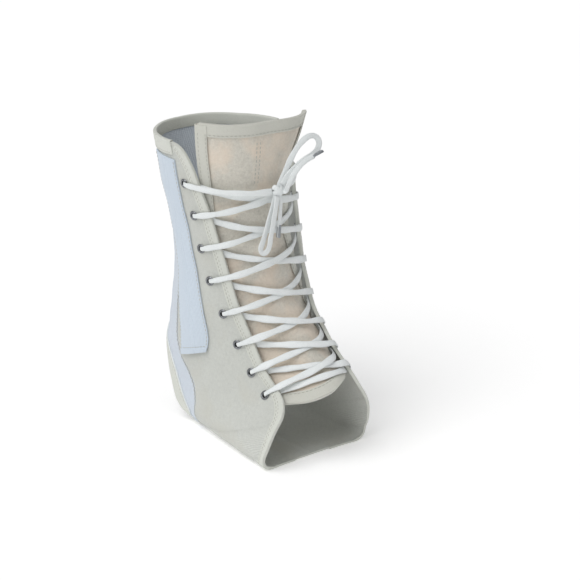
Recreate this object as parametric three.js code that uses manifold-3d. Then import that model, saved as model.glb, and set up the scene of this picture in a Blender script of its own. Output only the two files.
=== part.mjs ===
// Lace-up canvas ankle brace for a right foot, open at the heel.
// Millimetres, +Z up, toes towards -Y, the outer (lateral) side of the foot at -X.

import * as THREE from 'three';
import { mergeVertices } from 'three/addons/utils/BufferGeometryUtils.js';
import Module from 'manifold-3d';

const wasm = await Module();
wasm.setup();

// Overall sizes of the form that the cloth is cut to
const braceHeight = 212;      // floor to the top hem
const footReach = 119;        // ankle line to the most forward section
const heelReach = 61;         // ankle line to the back of the heel
const ankleWidth = 86;        // across the ankle bones, outside the cloth

// Cloth, tape and webbing
const canvasThick = 1.5;
const tapeThick = 0.6;        // binding tape on the faces of the canvas
const tapeEdge = 0.8;         // binding tape where it turns over an edge
const bindingWidth = 6;
const hemWidth = 9;
const heelTapeWidth = 5;
const tongueTapeWidth = 8;
const tongueThick = 1.8;
const elasticThick = 1.2;
const elasticInset = 0.3;     // the elastic lies this much under the canvas face
const webbingThick = 1.3;
const webbingCrown = 1.1;     // how far the stay inside swells the webbing pocket
const gap = 0.3;              // between pieces that touch in the real brace
const ease = 0.25;            // more room where flat facets pass over a round face

// Eyelets
const eyeletHole = 2.3;       // radius of the clear hole
const eyeletWall = 0.5;
const eyeletRim = 1;          // how far the rolled flange stands out from the barrel
const eyeletFlange = eyeletHole + eyeletWall + eyeletRim;
const eyeletRise = 0.7;       // height of the flange above its seat
const eyeletSides = 10;

// Lace
const laceWidth = 5;
const laceThick = 1.2;
const laceInHole = 2 * eyeletHole - 4 * gap; // its width where an eyelet gathers it
const tipLength = 9;
const tipRadius = 1.5;

// Offsets from the canvas face, outwards positive
const seatUnder = -(canvasThick + gap);
const laceUnder = seatUnder - gap - laceThick / 2;
const tongueFace = laceUnder - laceThick / 2 - ease - gap - tapeThick - gap;
const laceOverLace = laceUnder + laceThick + gap;
const laceOnFlange = gap + eyeletRise + gap + laceThick / 2;

// The form of the foot and ankle in a fan of sections, from above the hem to the front of the
// sole. Y is a share of footReach forwards and of heelReach backwards, Z of braceHeight, and
// lateral, medial, lean and ridge of half the ankle width.
const sections = table(
  ['frontY', 'frontZ', 'rearY', 'rearZ', 'lateral', 'medial', 'lean', 'widest', 'square', 'ridge'],
  [
    [-0.336, 1.113, 1.098, 1.113, 1.070, 1.070, -0.116, 0.48, 0.00, 0.000],
    [-0.345, 1.000, 1.033, 1.000, 1.047, 1.047, -0.093, 0.48, 0.00, 0.000],
    [-0.357, 0.868, 0.943, 0.858, 1.012, 1.012, -0.058, 0.48, 0.00, 0.000],
    [-0.378, 0.741, 0.820, 0.708, 0.988, 1.000, -0.023, 0.48, 0.00, 0.000],
    [-0.412, 0.627, 0.779, 0.561, 0.988, 1.000, 0.000, 0.50, 0.00, 0.023],
    [-0.466, 0.533, 0.844, 0.429, 1.000, 1.023, 0.000, 0.52, 0.00, 0.070],
    [-0.534, 0.467, 0.934, 0.316, 0.988, 1.012, 0.000, 0.54, 0.00, 0.116],
    [-0.605, 0.420, 1.000, 0.208, 0.953, 0.988, 0.000, 0.56, 0.05, 0.186],
    [-0.672, 0.382, 1.000, 0.104, 0.930, 0.977, 0.000, 0.58, 0.10, 0.233],
    [-0.735, 0.349, 0.820, 0.009, 0.919, 0.977, 0.000, 0.60, 0.20, 0.256],
    [-0.794, 0.318, 0.426, -0.007, 0.930, 0.977, 0.000, 0.63, 0.30, 0.279],
    [-0.849, 0.292, -0.034, -0.007, 0.953, 0.988, 0.000, 0.68, 0.40, 0.279],
    [-0.899, 0.269, -0.303, -0.007, 1.000, 1.012, 0.000, 0.72, 0.45, 0.256],
    [-0.950, 0.250, -0.555, -0.007, 1.035, 1.058, 0.000, 0.74, 0.50, 0.233],
    [-1.000, 0.231, -0.773, -0.007, 1.058, 1.093, 0.000, 0.75, 0.50, 0.209],
  ],
);

// Ribs of a quarter from the hem to the seam under the foot. Each runs from the front edge, which
// holds the lacing and then the foot opening, to the rear edge. Stations count the sections above,
// and angles go round from the shin (0) to the back (180).
const quarterRibs = table(
  ['front', 'lateralFront', 'medialFront', 'rear', 'rearAngle'],
  [
    [0.88, 90.0, 84.0, 1.00, 124.0],
    [0.94, 83.0, 74.0, 1.35, 122.0],
    [1.12, 76.5, 66.0, 1.75, 119.0],
    [1.46, 70.5, 59.0, 2.20, 115.0],
    [1.90, 66.5, 53.0, 2.65, 111.0],
    [2.40, 62.0, 48.5, 3.10, 108.0],
    [3.00, 58.0, 45.5, 3.60, 105.5],
    [3.60, 54.0, 43.5, 4.20, 104.0],
    [4.30, 50.0, 41.0, 4.80, 104.0],
    [5.15, 47.0, 37.5, 5.50, 104.0],
    [6.00, 45.5, 34.0, 6.20, 104.0],
    [6.90, 45.5, 30.5, 6.85, 102.0],
    [7.80, 46.0, 27.0, 7.40, 98.0],
    [8.70, 46.0, 25.0, 7.95, 92.5],
    [9.60, 46.0, 25.0, 8.50, 90.0],
    [10.40, 46.0, 26.0, 9.00, 91.0],
    [11.00, 46.5, 28.0, 9.50, 95.0],
    [11.50, 48.0, 32.0, 9.90, 102.0],
    [12.00, 50.5, 38.0, 10.25, 111.0],
    [12.45, 55.5, 46.0, 10.55, 119.0],
    [12.90, 65.0, 57.0, 10.78, 129.0],
    [13.25, 76.0, 70.0, 10.88, 141.0],
    [13.50, 90.0, 86.0, 10.90, 152.0],
    [13.68, 112.0, 110.0, 10.90, 162.0],
    [13.75, 140.0, 140.0, 10.90, 171.0],
    [13.75, 163.0, 163.0, 10.90, 177.0],
    [13.75, 180.0, 180.0, 10.90, 180.0],
  ],
);

// Rear edge of the elastic, rib by rib of the quarter down to the sole: the middle of the back,
// then the edge of the heel opening.
const elasticRear = table(
  ['station', 'angle'],
  [
    [1.05, 180.0], [1.40, 180.0], [1.80, 180.0], [2.25, 180.0], [2.70, 180.0], [3.15, 180.0],
    [3.65, 180.0], [4.20, 180.0], [4.80, 180.0], [5.40, 180.0], [5.82, 174.0], [6.15, 158.0],
    [6.50, 142.0], [7.00, 130.5], [7.65, 121.5], [8.30, 117.0], [8.90, 117.0], [9.40, 120.5],
    [9.85, 128.0], [10.20, 138.0], [10.45, 148.0],
  ],
);

// Webbing pocket of the side stay: its front and rear edge down the side
const pocketEdges = table(
  ['station', 'front', 'rear'],
  [
    [1.42, 88.5, 121.0], [1.80, 88.0, 120.5], [2.50, 87.0, 117.0], [3.30, 84.0, 111.0],
    [4.20, 78.5, 104.5], [5.15, 74.5, 101.0], [6.10, 72.5, 98.0], [6.75, 73.0, 97.0],
    [7.30, 75.5, 97.0],
  ],
);

// Side edges of the tongue, and how far its inner edge stands off the form
const tongueEdges = table(
  ['station', 'lateral', 'medial', 'flare'],
  [
    [0.22, 64.0, 52.0, 15.0], [0.80, 65.5, 48.5, 10.5], [1.30, 66.5, 44.5, 5.5],
    [1.75, 67.0, 39.0, 1.2], [2.15, 67.5, 35.0, 0.0], [2.70, 69.0, 31.0, 0.0],
    [3.20, 70.0, 30.0, 0.0], [3.70, 71.0, 31.0, 0.0], [4.40, 71.5, 34.0, 0.0],
    [5.40, 71.0, 40.0, 0.0], [6.60, 70.0, 44.0, 0.0], [8.00, 68.0, 43.0, 0.0],
    [9.40, 66.0, 42.0, 0.0], [10.60, 64.0, 41.0, 0.0],
  ],
);

// Lower edge of the tongue from its outer to its inner side, as a station for each share across
const tongueTip = [10.60, 11.00, 11.38, 11.72, 11.86, 11.80, 11.50, 11.10, 10.75, 10.50, 10.30];

// Eyelets, from the top pair to the instep pair: the rib that each is on, and how far its flange
// stays behind the front binding, as a share of the flange's radius.
const eyelets = table(
  ['rib', 'setback'],
  [
    [3.45, 0.40], [5.00, 0.75], [6.43, 1.15], [7.90, 1.15],
    [9.42, 0.55], [11.30, 0.35], [13.25, 0.10], [15.50, 0.10],
  ],
);

// The bow, from the middle of its knot. Chosen points, millimetres.
const knotPlace = { station: 2.0, angle: 3.5, offset: 3.2 };
const knotSize = { across: 9, along: 10, deep: 6.4 };
const bowUpperLoop = [
  [2.3, -0.7, 5.3], [4.7, -1.4, 11.4], [7.4, -2.0, 17.0], [10.0, -2.6, 22.2], [13.7, -3.0, 27.5],
  [18.5, -3.2, 32.0], [23.7, -3.4, 34.7], [28.5, -3.6, 34.7], [31.6, -4.2, 32.4], [32.6, -5.0, 28.9],
  [30.5, -5.6, 25.0], [25.7, -6.0, 22.3], [19.9, -6.0, 20.1], [13.9, -5.6, 17.4], [8.8, -4.8, 13.7],
  [5.2, -3.6, 9.3], [2.8, -2.0, 4.2],
];
const bowUpperEnd = [
  [3.5, -4.2, -0.3], [3.7, -7.4, 5.1], [6.1, -8.8, 11.4], [9.9, -9.6, 16.0], [14.2, -9.8, 19.2],
  [19.2, -9.8, 21.4], [22.7, -9.8, 22.3],
];
const bowLowerLoop = [
  [-2.9, -1.4, -4.6], [-5.6, -2.4, -8.9], [-7.7, -3.0, -13.1], [-9.8, -3.4, -18.5], [-11.9, -3.6, -24.0],
  [-14.2, -3.8, -29.4], [-16.5, -4.2, -34.1], [-17.9, -4.9, -37.3], [-17.0, -5.8, -39.5], [-14.8, -6.6, -38.3],
  [-12.9, -6.9, -34.5], [-11.1, -6.9, -29.2], [-9.4, -6.6, -23.7], [-7.9, -6.2, -17.8], [-6.0, -5.4, -12.0],
  [-4.5, -4.6, -7.0], [-2.5, -2.9, -3.3],
];
const bowLowerEnd = [
  [1.4, -1.2, -5.5], [0.8, -2.6, -10.7], [0.2, -3.0, -15.0], [-0.4, -3.2, -19.3], [-1.0, -3.4, -23.6],
];

// How the sheets are divided, and where pieces start and stop on them
const nearShare = 0.02;
const quarterColumns = 7;
const hemSteps = 12;
const elasticColumns = 4;
const pocketRows = 12;
const pocketColumns = 4;
const tongueRows = 16;
const tongueColumns = 10;
const tipBlend = 6;
const sideTapeStart = 1.05;
const flareFrom = 0.55;
const flareLift = -0.15;
const bindingRibs = { from: 2, to: 23 };
const heelRibs = { from: 10.2, to: 20 };
const knotSide = 5.9;
const bendRadius = 1.6;
const bendSteps = 2;
const laceRunSteps = 11;
const crossingHalf = 0.12;
const underCrossings = [3];    // crossings, counted from the instep, where the other lace is on top
const edgeClear = 3.5;

const { lerp } = THREE.MathUtils;

const colours = {
  canvas: 0xd9d6c8, tape: 0xe3e1d8, tongue: 0xdccfb8, elastic: 0xe6eaf0, webbing: 0xe4e9f0,
  tongueTape: 0xd8cdb9, lace: 0xf0f2f3, nickel: 0x8d9094, tip: 0xb9bcc0,
};

/** Rows of numbers under named columns. */
function table(names, rows) {
  return rows.map((row) => Object.fromEntries(names.map((name, i) => [name, row[i]])));
}

/** A column of a table at a place between its rows, on a smooth curve. */
function smooth(rows, name, place) {
  const last = rows.length - 1;
  const at = Math.min(Math.max(Math.floor(place), 0), last - 1);
  const part = place - at;
  const [a, b, c, d] = [-1, 0, 1, 2].map((k) => rows[Math.min(Math.max(at + k, 0), last)][name]);
  const slopeIn = at === 0 ? c - b : (c - a) / 2;
  const slopeOut = at === last - 1 ? c - b : (d - b) / 2;
  const square = part * part;
  const cube = square * part;
  return (2 * cube - 3 * square + 1) * b + (cube - 2 * square + part) * slopeIn
    + (3 * square - 2 * cube) * c + (cube - square) * slopeOut;
}

/** The same, with the place given as a station, which is a column of the table. */
function byStation(rows, name, station, column = 'station') {
  const last = rows.length - 1;
  let k = 0;
  while (k < last - 1 && rows[k + 1][column] < station) k += 1;
  const part = (station - rows[k][column]) / (rows[k + 1][column] - rows[k][column]);
  return smooth(rows, name, k + Math.min(Math.max(part, 0), 1));
}

/** A point of the form. side is -1 on the outer and +1 on the inner half. */
function formPoint(station, angle, side) {
  const turned = angle < 0 || angle > 180;
  const turn = THREE.MathUtils.degToRad(angle > 180 ? 360 - angle : Math.abs(angle));
  const onSide = turned ? -side : side;
  const [frontY, frontZ, rearY, rearZ, lateral, medial, lean, widest, square, ridge] = Object.keys(
    sections[0],
  ).map((name) => smooth(sections, name, station));
  const half = ankleWidth / 2;
  const power = Math.abs(angle) > 90 ? 1 - square : 1;
  const cosine = Math.abs(Math.cos(turn)) ** power;
  const sine = Math.abs(Math.sin(turn)) ** power;
  const inFront = turn <= Math.PI / 2;
  const along = inFront ? widest * (1 - cosine) : widest + (1 - widest) * cosine;
  const reach = (share) => share * (share > 0 ? heelReach : footReach);
  const halfHere = half * (onSide < 0 ? lateral : medial);
  const ridgeHere = inFront ? half * ridge * Math.cos(turn) ** 2 : 0;
  return new THREE.Vector3(
    half * lean + ridgeHere + onSide * halfHere * sine,
    lerp(reach(frontY), reach(rearY), along),
    Math.max(braceHeight * lerp(frontZ, rearZ, along), 0),
  );
}

const stepStation = 0.04;
const stepAngle = 1.5;

/** Directions on the form at a place: along the stations, along the angles, and outwards. */
function formFrame(station, angle, side) {
  const at = (s, a) => formPoint(s, a, side);
  const low = Math.max(station - stepStation, 0);
  const high = Math.min(station + stepStation, sections.length - 1);
  const back = Math.min(angle + stepAngle, 180);
  const ahead = Math.max(angle - stepAngle, -180);
  const down = at(high, angle).sub(at(low, angle)).divideScalar(high - low);
  const round = at(station, back).sub(at(station, ahead)).divideScalar(back - ahead);
  const out = down.clone().cross(round).multiplyScalar(side).normalize();
  return { down, round, out };
}

/** A point at an offset from the form. */
function clothPoint(station, angle, side, offset) {
  return formPoint(station, angle, side).addScaledVector(formFrame(station, angle, side).out, offset);
}

/** A closed body from rows of paired points: each row has an outer and an inner chain. */
function wall(rows) {
  const width = rows[0].outer.length;
  const ring = 2 * width;
  const positions = rows.flatMap(({ outer, inner }) => [...outer, ...[...inner].reverse()])
    .flatMap((point) => point.toArray());
  const faces = [];
  const quad = (a, b, c, d) => faces.push(a, b, c, a, c, d);
  for (let row = 0; row + 1 < rows.length; row += 1) {
    for (let k = 0; k < ring; k += 1) {
      const next = (k + 1) % ring;
      quad(row * ring + k, row * ring + next, (row + 1) * ring + next, (row + 1) * ring + k);
    }
  }
  const end = (rows.length - 1) * ring;
  for (let k = 0; k + 1 < width; k += 1) {
    quad(k, ring - 1 - k, ring - 2 - k, k + 1);
    quad(end + k, end + k + 1, end + ring - 2 - k, end + ring - 1 - k);
  }
  const geometry = new THREE.BufferGeometry();
  geometry.setAttribute('position', new THREE.Float32BufferAttribute(positions, 3));
  geometry.setIndex(volumeOf(positions, faces) < 0 ? faces.reverse() : faces);
  return geometry;
}

/** The volume inside a closed body's faces, negative if they point inwards. */
function volumeOf(positions, faces) {
  const corner = (i) => new THREE.Vector3().fromArray(positions, 3 * i);
  let sum = 0;
  for (let f = 0; f < faces.length; f += 3) {
    sum += corner(faces[f]).dot(corner(faces[f + 1]).cross(corner(faces[f + 2]))) / 6;
  }
  return sum;
}

/** A geometry as a solid that can be cut. */
function solidOf(geometry) {
  const bare = geometry.clone();
  bare.deleteAttribute('normal');
  bare.deleteAttribute('uv');
  const merged = mergeVertices(bare, 1e-4);
  return new wasm.Manifold(new wasm.Mesh({
    numProp: 3,
    vertProperties: Float32Array.from(merged.attributes.position.array),
    triVerts: Uint32Array.from(merged.index.array),
  }));
}

/** A cut solid as a geometry again. */
function geometryOf(solid) {
  const mesh = solid.getMesh();
  const geometry = new THREE.BufferGeometry();
  geometry.setAttribute('position', new THREE.Float32BufferAttribute(mesh.vertProperties, 3));
  geometry.setIndex([...mesh.triVerts]);
  return geometry;
}

/** A turn that takes +Y to a direction. */
function standOn(direction) {
  return new THREE.Quaternion().setFromUnitVectors(new THREE.Vector3(0, 1, 0), direction);
}

const brace = new THREE.Group();
const finishes = Object.fromEntries(Object.entries(colours).map(([name, color]) => [
  name,
  new THREE.MeshStandardMaterial({
    color,
    roughness: name === 'nickel' ? 0.35 : 0.9,
    metalness: name === 'nickel' ? 1 : 0,
  }),
]));

function add(name, geometry, finish) {
  geometry.computeVertexNormals();
  const mesh = new THREE.Mesh(geometry, finishes[finish].clone());
  mesh.name = name;
  brace.add(mesh);
  return mesh;
}

const sides = [{ name: 'lateral', side: -1 }, { name: 'medial', side: 1 }];
const lastRib = quarterRibs.length - 1;

/** Keeps a point on its own side of the seam down the middle. */
function besideSeam(point, station, side) {
  const middle = (ankleWidth / 2) * smooth(sections, 'lean', station);
  if (side * (point.x - middle) < gap / 2) point.x = middle + side * gap / 2;
  return point;
}

/** The station and angle on a quarter at a rib and a share from its front to its rear edge. */
function quarterPlace({ name }, rib, share) {
  const [front, angle, rear, rearAngle] = ['front', `${name}Front`, 'rear', 'rearAngle'].map(
    (column) => smooth(quarterRibs, column, rib),
  );
  return { station: lerp(front, rear, share), angle: lerp(angle, rearAngle, share) };
}

/** The station and angle of an eyelet, behind the front binding on its rib. */
function eyeletPlace(which, { rib, setback }) {
  const edge = quarterPlace(which, rib, 0);
  const near = quarterPlace(which, rib, nearShare);
  const nearLength = formPoint(edge.station, edge.angle, which.side)
    .distanceTo(formPoint(near.station, near.angle, which.side));
  const distance = bindingWidth + gap + (1 + setback) * eyeletFlange;
  return quarterPlace(which, rib, (nearShare * distance) / nearLength);
}

/** A quarter as a sheet: a point from a rib, a share across it and an offset. */
function quarterSheet(which) {
  return (rib, share, offset) => {
    const { station, angle } = quarterPlace(which, rib, share);
    return besideSeam(clothPoint(station, angle, which.side, offset), station, which.side);
  };
}

/** The elastic behind a quarter as a sheet. It starts at the quarter's rear edge. */
function elasticSheet(which) {
  return (rib, share, offset) => {
    const edge = quarterPlace(which, rib, 1);
    const near = quarterPlace(which, rib, 1 - nearShare);
    const length = formPoint(edge.station, edge.angle, which.side)
      .distanceTo(formPoint(near.station, near.angle, which.side));
    const start = quarterPlace(which, rib, 1 + (gap * nearShare) / length);
    const station = lerp(start.station, smooth(elasticRear, 'station', rib), share);
    const angle = lerp(start.angle, smooth(elasticRear, 'angle', rib), share);
    return besideSeam(clothPoint(station, angle, which.side, offset), station, which.side);
  };
}

/** The band under the hem as a sheet: a share along the hem, then stations down from it. */
function hemSheet({ name, side }) {
  const front = quarterRibs[0];
  const firstAngle = front[`${name}Front`];
  return (share, down, offset) => {
    const angle = lerp(firstAngle, 180, share);
    const onQuarter = Math.min((angle - firstAngle) / (front.rearAngle - firstAngle), 1);
    const onElastic = Math.max((angle - front.rearAngle) / (180 - front.rearAngle), 0);
    const station = lerp(front.front, front.rear, onQuarter)
      + (elasticRear[0].station - front.rear) * onElastic;
    return besideSeam(clothPoint(station + down, angle, side, offset), station + down, side);
  };
}

/** The tongue as a sheet: a station, a share from its outer to its inner edge, and an offset. */
function tongueSheet(station, share, offset) {
  const [lateral, medial] = ['lateral', 'medial'].map((name) => byStation(tongueEdges, name, station));
  const angle = lerp(-lateral, medial, share);
  const { out } = formFrame(station, angle, 1);
  const flare = byStation(tongueEdges, 'flare', station) * THREE.MathUtils.smoothstep(share, flareFrom, 1);
  const point = formPoint(station, angle, 1).addScaledVector(out, tongueFace + offset + flare);
  point.z += flareLift * flare;
  return point;
}

/** The station on the tongue at a share of its length, for a share across it. */
function tongueStation(down, across) {
  const top = tongueEdges[0].station;
  const shoulder = tongueEdges[tongueEdges.length - 1].station;
  const tip = smooth(tongueTip.map((station) => ({ station })), 'station', across * (tongueTip.length - 1));
  const plain = lerp(top, shoulder, down);
  return plain + (tip - shoulder) * down ** tipBlend;
}

/** A closed body of cloth from a sheet: its places along and across, and its two faces. */
function cloth(sheet, along, across, outer, inner) {
  const offsetOf = (face, u, v) => (typeof face === 'function' ? face(u, v) : face);
  return wall(along.map((u) => ({
    outer: across.map((v) => sheet(u, v, offsetOf(outer, u, v))),
    inner: across.map((v) => sheet(u, v, offsetOf(inner, u, v))),
  })));
}

/** Tape folded over the edge of a sheet at share 0: a leg on its face and a lip down its edge. */
function edgeTape(sheet, along, thick, width) {
  const high = gap + tapeThick;
  return wall(along.map((u) => {
    const edge = sheet(u, 0, 0);
    const way = sheet(u, nearShare, 0).sub(edge);
    const perShare = way.length() / nearShare;
    way.normalize();
    const up = sheet(u, 0, 1).sub(edge).normalize();
    const off = (across, rise) => edge.clone().addScaledVector(way, across).addScaledVector(up, rise);
    const onFace = (across, rise) => sheet(u, across / perShare, rise);
    return {
      outer: [off(-gap - tapeEdge, -thick), off(-gap - tapeEdge, high), onFace(width, high)],
      inner: [off(-gap, -thick), off(-gap, gap), onFace(width, gap)],
    };
  }));
}

/** The tape round the heel opening, over the elastic's rear edge. */
function heelBinding(which) {
  const sheet = elasticSheet(which);
  const fromRear = (rib, share, offset) => sheet(rib, 1 - share, offset - elasticInset);
  const rows = quarterRows.filter((rib) => rib >= heelRibs.from && rib <= heelRibs.to);
  return edgeTape(fromRear, rows, elasticThick, heelTapeWidth);
}

/** Evenly spaced shares from one value to another. */
function steps(from, to, count) {
  return Array.from({ length: count + 1 }, (_, k) => lerp(from, to, k / count));
}

/** The ribs that a quarter's rows stand on, closer where the leg and the instep curve. */
const quarterRows = [0, 1, ...steps(2, 16, 20), ...steps(17, lastRib, lastRib - 17)];

function quarter(which) {
  let solid = solidOf(cloth(quarterSheet(which), quarterRows, steps(0, 1, quarterColumns), 0, -canvasThick));
  const punchRadius = eyeletHole + eyeletWall + gap;
  eyelets.forEach((row) => {
    const punch = new THREE.CylinderGeometry(punchRadius, punchRadius, 6 * canvasThick, eyeletSides);
    placeOnForm(punch, eyeletPlace(which, row), which.side);
    solid = solid.subtract(solidOf(punch));
  });
  return geometryOf(solid);
}

/** Stands a geometry made about +Y on the form. */
function placeOnForm(geometry, { station, angle }, side) {
  geometry.applyQuaternion(standOn(formFrame(station, angle, side).out));
  geometry.translate(...formPoint(station, angle, side).toArray());
  return geometry;
}

function eyelet(which, row) {
  const top = gap + eyeletRise;
  const barrel = eyeletHole + eyeletWall;
  const roll = 0.35 * eyeletRise;
  const profile = [
    [eyeletHole, seatUnder], [barrel, seatUnder], [barrel, gap], [eyeletFlange, gap],
    [eyeletFlange - roll, top], [eyeletHole + roll, top], [eyeletHole, seatUnder],
  ].map(([r, y]) => new THREE.Vector2(r, y));
  return placeOnForm(new THREE.LatheGeometry(profile, eyeletSides), eyeletPlace(which, row), which.side);
}

function frontBinding(which) {
  const rows = quarterRows.filter((rib) => rib >= bindingRibs.from && rib <= bindingRibs.to);
  return edgeTape(quarterSheet(which), rows, canvasThick, bindingWidth);
}

function hem(which) {
  return edgeTape(hemSheet(which), steps(0, 1, hemSteps), canvasThick, hemWidth);
}

function elastic(which) {
  const rows = quarterRows.filter((rib) => rib < elasticRear.length);
  const inner = -elasticInset - elasticThick;
  return cloth(elasticSheet(which), rows, steps(0, 1, elasticColumns), -elasticInset, inner);
}

function stayPocket({ side }) {
  const sheet = (station, share, offset) => clothPoint(
    station,
    lerp(byStation(pocketEdges, 'front', station), byStation(pocketEdges, 'rear', station), share),
    side,
    offset,
  );
  const hemRear = quarterRibs[0].rear;
  const perStation = formPoint(hemRear, pocketEdges[0].rear, side)
    .distanceTo(formPoint(hemRear + 1, pocketEdges[0].rear, side));
  const top = hemRear + (hemWidth + 4 * gap) / perStation;
  const rows = steps(top, pocketEdges[pocketEdges.length - 1].station, pocketRows);
  const crown = (_, share) => gap + webbingThick + webbingCrown * Math.sin(Math.PI * share);
  return cloth(sheet, rows, steps(0, 1, pocketColumns), crown, gap);
}

/** Spreads a place in cells over shares, with first and last cells of the shares given. */
function spread(place, cell, first, last) {
  if (place <= cell) return (place / cell) * first;
  if (place >= 1 - cell) return 1 - ((1 - place) / cell) * last;
  return lerp(first, 1 - last, (place - cell) / (1 - 2 * cell));
}

/** The tongue as a sheet whose outermost cells are as wide as the tape round it. */
function tongueCells(row, column, offset) {
  const plain = (down, across, rise = 0) => tongueSheet(tongueStation(down, across), across, rise);
  const tapeAt = (a, b) => (tongueTapeWidth * nearShare) / a.distanceTo(b);
  const across = spread(
    column,
    1 / tongueColumns,
    tapeAt(plain(row, 0), plain(row, nearShare)),
    tapeAt(plain(row, 1), plain(row, 1 - nearShare)),
  );
  const down = spread(
    row,
    1 / tongueRows,
    tapeAt(plain(0, across), plain(nearShare, across)),
    tapeAt(plain(1, across), plain(1 - nearShare, across)),
  );
  return plain(down, across, offset);
}

function tongue() {
  return cloth(tongueCells, steps(0, 1, tongueRows), steps(0, 1, tongueColumns), 0, -tongueThick);
}

/** Tape over the tongue's top or lower edge. flip picks the edge. */
function tongueEndTape(flip) {
  const sheet = (column, row, offset) => tongueCells(flip(row), column, offset);
  return edgeTape(sheet, steps(0, 1, tongueColumns), tongueThick, tongueTapeWidth);
}

/** Tape along a side edge of the tongue, between the tapes at its ends. flip picks the side. */
function tongueSideTape(flip) {
  const sheet = (row, column, offset) => tongueCells(row, flip(column), offset);
  const cell = 1 / tongueRows;
  const clear = cell * sideTapeStart;
  const rows = [clear, ...steps(2 * cell, 1 - 2 * cell, tongueRows - 4), 1 - clear];
  return edgeTape(sheet, rows, tongueThick, tongueTapeWidth);
}

/** A flat lace: a closed body along points that each hold a place, the way across, and a width. */
function flatLace(points) {
  const middle = (a, b) => new THREE.Vector3().subVectors(a, b).normalize();
  let lastAcross = null;
  return wall(points.map(({ at, across, width }, k) => {
    const before = points[Math.max(k - 1, 0)].at;
    const after = points[Math.min(k + 1, points.length - 1)].at;
    const tangent = middle(after, before);
    const aside = across.clone().addScaledVector(tangent, -across.dot(tangent)).normalize();
    if (lastAcross && aside.dot(lastAcross) < 0) aside.negate();
    lastAcross = aside;
    const up = aside.clone().cross(tangent).normalize();
    const corner = (w, h) => at.clone().addScaledVector(aside, w * width)
      .addScaledVector(up, h * laceThick);
    return {
      outer: [corner(-0.5, 0.25), corner(0, 0.5), corner(0.5, 0.25)],
      inner: [corner(-0.5, -0.25), corner(0, -0.5), corner(0.5, -0.25)],
    };
  }));
}

/** A stop of the lace at an eyelet, its angle negative on the outer side. k counts from the top. */
function stop(key, k) {
  const which = sides.find(({ name }) => name === key);
  const { station, angle } = eyeletPlace(which, eyelets[k]);
  return { station, angle: which.side * angle, key };
}

/** The lace's route from the knot through every eyelet and back to the knot. */
function laceStops() {
  const pairs = eyelets.length;
  const down = eyelets.map((_, k) => stop(k % 2 ? 'medial' : 'lateral', k));
  const up = eyelets.map((_, k) => stop(k % 2 ? 'lateral' : 'medial', k)).reverse();
  return { stops: [...down, ...up], turnAfter: pairs - 1 };
}

/** The angle of a quarter's front edge at a station, signed. */
function edgeAngle(key, station) {
  const angle = byStation(quarterRibs, `${key}Front`, station, 'front');
  return key === 'lateral' ? -angle : angle;
}

/** The points of one run of the lace between two stops, off their eyelets. */
function laceRun(from, to, fromLevel, toLevel, crossing) {
  const place = (share) => ({
    station: lerp(from.station, to.station, share),
    angle: lerp(from.angle, to.angle, share),
  });
  const shareAt = (key) => {
    let share = key === from.key ? 0 : 1;
    for (let k = 0; k < 8; k += 1) {
      share = (edgeAngle(key, place(share).station) - from.angle) / (to.angle - from.angle);
    }
    return share;
  };
  const length = formPoint(from.station, from.angle, 1).distanceTo(formPoint(to.station, to.angle, 1));
  const clear = (bendRadius + 0.5 * laceWidth) / length;
  const past = edgeClear / length;
  const keys = [[0, fromLevel], [clear, fromLevel]];
  if (from.key) keys.push([shareAt(from.key) + past, fromLevel]);
  crossing.forEach(([share, offset]) => keys.push([share, offset]));
  if (to.key) keys.push([shareAt(to.key) - past, toLevel]);
  keys.push([1 - clear, toLevel], [1, toLevel]);
  const levels = keys.map(([share, offset]) => ({ share, offset }));
  const level = (share) => {
    let k = 0;
    while (k < levels.length - 2 && levels[k + 1].share < share) k += 1;
    const part = (share - levels[k].share) / (levels[k + 1].share - levels[k].share);
    return lerp(levels[k].offset, levels[k + 1].offset, THREE.MathUtils.smoothstep(part, 0, 1));
  };
  const first = from.key ? bendRadius / length : 0;
  const last = to.key ? 1 - bendRadius / length : 1;
  return steps(first, last, laceRunSteps).map((share) => {
    const { station, angle } = place(share);
    const { down, round, out } = formFrame(station, angle, 1);
    const run = down.clone().multiplyScalar(to.station - from.station)
      .addScaledVector(round, to.angle - from.angle).normalize();
    const toEyelet = Math.min(
      from.key ? share * length : laceWidth * 2,
      to.key ? (1 - share) * length : laceWidth * 2,
    );
    const widening = THREE.MathUtils.smoothstep(toEyelet, bendRadius, laceWidth * 1.4);
    return {
      at: formPoint(station, angle, 1).addScaledVector(out, level(share)),
      across: out.clone().cross(run),
      width: lerp(laceInHole, laceWidth, widening),
    };
  });
}

/** The lace's turn through an eyelet, between the run that comes and the run that goes. */
function lacePass(at, before, after, fromLevel, toLevel) {
  const centre = formPoint(at.station, at.angle, 1);
  const { out } = formFrame(at.station, at.angle, 1);
  const flat = (point) => point.clone().sub(centre).projectOnPlane(out).normalize();
  const come = flat(before.at);
  const go = flat(after.at);
  const down = Math.sign(toLevel - fromLevel);
  const bend = (way, level, sign) => steps(0, 1, bendSteps).slice(1).map((share) => {
    const turn = (share * Math.PI) / 2;
    return {
      at: centre.clone().addScaledVector(way, bendRadius * (1 - Math.sin(turn)))
        .addScaledVector(out, level + sign * bendRadius * (1 - Math.cos(turn))),
      across: out.clone().cross(way),
      width: laceInHole,
    };
  });
  return [...bend(come, fromLevel, down), ...bend(go, toLevel, -down).reverse()];
}

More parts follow.
